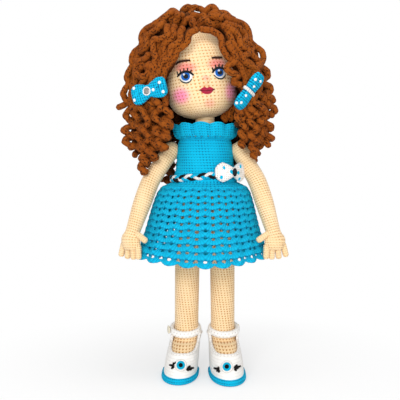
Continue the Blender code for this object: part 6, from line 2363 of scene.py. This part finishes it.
    def build_locks(self) -> None:
        """Add the locks that hang on both sides and behind."""
        for side, name in ((1, "left"), (-1, "right")):
            outer, inner = (LEFT_LOCKS, LEFT_INNER) if side > 0 else (RIGHT_LOCKS, RIGHT_INNER)
            for index, trace in enumerate(LEFT_TRACES if side > 0 else RIGHT_TRACES):
                nodes = [f"curl_{name}_{index + 1}"] if index < 5 else []
                self.cord(f"lock_{name}_front_{index}", self.traced(trace), nodes,
                          joint=f"shoulder_{name}")
            for index, row in enumerate(outer):
                nodes = []
                if index == len(outer) - 2:
                    nodes = ["curl_back_1" if side > 0 else "curl_back_2"]
                self.cord(f"lock_{name}_{index}", self.path(side, Strand(*row)), nodes,
                          joint="neck_turn")
            for index, row in enumerate(inner):
                joint, clear = f"shoulder_{name}", 0.0
                if index >= 4:
                    joint, clear = "neck_turn", self.inner_clear
                elif side > 0 and index == 0:
                    joint, clear = "neck_turn", self.ruffle_clear
                # The inner locks take the darker brown yarn, as painted shade.
                self.cord(f"lock_{name}_inner_{index}", self.path(side, Strand(*row)),
                          finish=SHADED_BROWN, joint=joint, clear=clear)

    def build_top(self) -> None:
        """Add the bundle of loops on the crown."""
        for index, (depth, nodes, pixels) in enumerate(TOP_LOOPS):
            spots = []
            for step, (column, row) in enumerate(pixels):
                wobble = 3.0 * MM * math.sin(2.1 * step + index)
                spots.append(tuple(CAMERA.at_depth(column, row, depth * MM + wobble)))
            self.cord(f"lock_top_{index}", spline(spots, 200), nodes)


TOP_LOOPS: tuple[tuple[float, tuple[str, ...], tuple[tuple[float, float], ...]], ...] = (
    (-6, ("curl_top_1",), ((183, 18), (182, 12.5), (185, 8.4), (189, 7), (191.5, 9.8), (190, 13.8),
                           (186, 16), (181, 19), (177, 22))),
    (-1, (), ((188, 14), (190.5, 9.6), (194, 7.4), (198, 8.4), (202, 9.6), (204, 12.8), (201, 16),
              (196, 15.5), (192, 17.5), (188, 21))),
    (-8, ("curl_top_2",), ((203, 14.5), (206, 11), (209.5, 7.6), (213, 6.9), (215.5, 9.4),
                           (217, 12.8), (214, 15.8), (209, 16), (205, 19))),
    (-4, (), ((213, 15), (218.5, 13.2), (223.3, 13), (226.4, 14.6), (226, 18), (222, 20),
              (217, 22))),
    (-17, (), ((176, 15), (178, 18.5), (182, 18.4), (184.5, 21.5), (182, 24.6), (177, 25.4),
               (173, 24))),
    (-19, (), ((186, 20), (190, 18.6), (193, 21), (192, 24.4), (197, 25), (200, 22.5),
               (203, 19.6), (205.5, 21.6), (203, 24.8))),
    (-21, (), ((222, 22.4), (218, 24.6), (212, 24.2), (207.6, 21.6), (208.6, 18), (213, 16.4),
               (218, 18), (219, 21), (215, 21.6))),
    (-14, (), ((219, 18), (224, 19), (229, 20.4), (233, 22.6), (237, 25.4), (241, 30))),
    (6, (), ((166, 24), (172, 18), (178, 16), (185, 12), (192, 14), (200, 16), (206, 12),
             (212, 13))),
    (20, (), ((163, 27), (171, 21), (179, 20), (187, 16), (195, 18), (204, 15), (212, 18),
              (220, 17), (228, 25))),
    (2, (), ((178, 22), (186, 20), (192, 17), (199, 19), (205, 16), (212, 18), (218, 20),
             (224, 25))),
    (30, (), ((168, 29), (177, 24), (186, 26), (195, 22), (205, 25), (214, 22), (222, 29))),
    (-24, (), ((157, 28), (160.5, 21.5), (165.5, 16.6), (170.5, 13), (175, 13.4), (177.4, 17.5),
              (175, 22), (171, 26))),
    (-20, (), ((163, 20.5), (168, 16.4), (172, 19.6), (175.5, 15.4), (180, 17), (183, 13.6))),
    (-22, (), ((212, 18.5), (216.5, 15.4), (220.4, 18.4), (225.4, 16.4), (229.4, 19.6), (233, 23))),
    (-17, (), ((209, 16), (215, 12.4), (220, 15.4), (225, 13.4), (230, 17.6), (236, 21))),
    (-12, (), ((190, 20), (194.5, 15), (198.5, 19), (203, 15.4), (207, 19.6), (211.5, 16.4))),
)


@dataclass
class HairBows:
    """The bow on each side of the hair."""

    right_pearls: tuple[tuple[float, float], ...] = (
        (133.8, 88.4), (134.4, 100.2), (159.4, 82.4), (163.1, 91.7),
    )
    left_pearls: tuple[tuple[float, float], ...] = (
        (255.5, 79.5), (260.5, 81.4), (254, 86.6), (246, 95.6), (236.6, 102.9), (241.3, 102.5),
    )
    left_shift: tuple[float, float, float] = (-5.8 * MM, 0.0, 0.2 * MM)
    right_shift: tuple[float, float, float] = (-1.5 * MM, 0.0, 0.6 * MM)
    right_turns: tuple[tuple[float, str], ...] = ((-25, "Z"), (-15, "Y"))
    left_turns: tuple[tuple[float, str], ...] = ((-54, "Y"), (55, "X"))

    def build(self) -> None:
        """Add both bows where the CAD model has them."""
        self.build_right()
        self.build_left()

    @staticmethod
    def place_of(node: str, shift: Sequence[float], turns: Sequence[tuple[float, str]]) -> Matrix:
        """Return the place and turn of a bow.

        Args:
            node: The CAD node that it stands for.
            shift: How far its middle is from the node's.
            turns: Degrees and axis of each turn.

        Returns:
            The matrix from the bow's frame to the doll's.
        """
        low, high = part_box(node)
        place = Matrix.Translation((low + high) / 2 + Vector(shift))
        for degrees, axis in turns:
            place = place @ Matrix.Rotation(math.radians(degrees), 4, axis)
        return place

    def build_right(self) -> None:
        """Add the bow on the doll's right with its stone and pearls."""
        place = self.place_of("hair_bow_right", self.right_shift, self.right_turns)
        bow = Bow("hair_bow_right_crochet", place, "head", BLUE, ("hair_bow_right",),
                  half_length=20.2 * MM, height=21.5 * MM, corner=4.6, pinch=0.55)
        tree = bow.build()
        self.build_gem(place)
        sew_on("hair_bow_right_pearl_bead", tree, (153.2, 89.8), (1.7 * MM, 1.7 * MM, 1.5 * MM),
               PEARL, "head", ["hair_bow_right_pearl"])
        for index, pixel in enumerate(self.right_pearls):
            sew_on(f"hair_bow_right_dot_{index}", tree, pixel, (1.75 * MM, 1.75 * MM, 1.2 * MM),
                   PEARL, "head")

    def build_left(self) -> None:
        """Add the bow on the doll's left with its pearls and band."""
        place = self.place_of("hair_bow_left", self.left_shift, self.left_turns)
        bow = Bow("hair_bow_left_crochet", place, "head", BLUE, ("hair_bow_left",), corner=3.4,
                  half_length=21.5 * MM, height=19 * MM, thickness=7.6 * MM, pinch=0.72)
        tree = bow.build()
        for index, pixel in enumerate(self.left_pearls):
            sew_on(f"hair_bow_left_dot_{index}", tree, pixel, (1.6 * MM, 1.6 * MM, 1.1 * MM),
                   PEARL, "head")
        self.build_band(place)

    def build_gem(self, place: Matrix) -> None:
        """Add the cut stone and the pale ring that holds it."""
        out = Matrix.Translation((-1.3 * MM, -2.2 * MM, 0)) @ Matrix.Rotation(math.pi / 2, 4, "X")
        cut = ((0.02, -0.6), (3.6, -0.6), (3.8, 0.9), (3.4, 1.3), (2.1, 2.2), (0.02, 2.3))
        gem = spun("hair_bow_right_stone", cut, 10, place @ out)
        finish_piece(gem, GEM, "head", ["hair_bow_right_gem"])
        gem.data.polygons.foreach_set("use_smooth", [False] * len(gem.data.polygons))
        ring = [(4.0 + 0.55 * math.cos(angle), 0.9 + 0.6 * math.sin(angle))
                for angle in np.linspace(0, math.tau, 17)]
        setting = spun("hair_bow_right_setting", ring, 40, place @ out)
        finish_piece(setting, PEARL, "head")

    def build_band(self, place: Matrix) -> None:
        """Add the white band round the left bow's middle."""
        spots = []
        for angle in np.linspace(0, math.tau, 25)[:-1]:
            local = Vector((0, 4.4 * MM * math.cos(angle), 9.4 * MM * math.sin(angle)))
            spots.append(tuple(place @ local))
        table = np.array([*spots, spots[0]])
        across = place.to_3x3() @ Vector((1, 0, 0))

        def surface(u: Array, v: Array) -> Array:
            """Return points on a flat ring."""
            turn, spread = math.tau * u, 1.5 * MM
            line = read(table, v)
            centre = np.array(place.translation)
            return (line + np.array(across) * (spread * np.cos(turn))[..., None]
                    + unit(line - centre) * (0.8 * MM * np.sin(turn))[..., None])

        band = crochet("hair_bow_left_band_crochet", surface, Fabric(10, 18, Stitch.FLAT, 0.3 * MM))
        finish_piece(band, WHITE, "head", ["hair_bow_left_band"])


# The doll


def finish_hidden() -> None:
    """Give the CAD nodes that stay inside the doll their wood and cord."""
    for name, finish in (("neck_dowel", DOWEL), ("shoulder_cord", CORD), ("hip_cord", CORD)):
        node = bpy.data.objects[name]
        node.data.materials.clear()
        node.data.materials.append(finish.material())


def main() -> None:
    """Build the doll from its torso out, then the stage."""
    logging.basicConfig(level=logging.INFO, format="%(message)s")
    bpy.context.scene.view_settings.view_transform = "Standard"
    CAMERA.build()
    Torso().build()
    Arm("left", 36.2 * MM, math.radians(16)).build()
    Arm("right", 41.0 * MM, math.radians(30)).build()
    Leg("right", splay=6.4 * MM, button_shift=(-1.2 * MM, -0.6 * MM, 0.2 * MM),
        button_scale=1.35, eye_pixel=(180.8, 365.3), lash_pixels=(
        (174.4, 366.0, 169.4, 364.9), (174.2, 366.4, 171.4, 368.8), (174.0, 365.2, 173.6, 362.4),
        (175.0, 364.2, 176.2, 361.8), (186.6, 368.6, 193.8, 367.8), (186.6, 368.8, 188.4, 370.9),
        (187.6, 368.0, 190.4, 365.8), (188.4, 369.2, 191.4, 369.6),
    )).build()
    Leg("left", spread=0.8 * MM, splay=4.2 * MM, toe_reach=28 * MM,
        button_shift=(-1.4 * MM, 7 * MM, 1 * MM),
        eye_pixel=(226.9, 366.8), lash_pixels=(
        (219.6, 369.4, 214.0, 368.0), (219.4, 370.0, 216.6, 371.0), (219.8, 370.2, 218.6, 372.4),
        (219.0, 369.0, 218.2, 366.6), (233.8, 368.4, 240.6, 366.0), (234.2, 368.8, 236.5, 370.8),
        (234.6, 367.8, 237.0, 364.6), (235.4, 368.4, 238.6, 367.6),
    )).build()
    Dress().build()
    Belt().build()
    Face().build()
    Hair().build()
    HairBows().build()
    finish_hidden()
    build_stage()


if __name__ == "__main__":
    main()
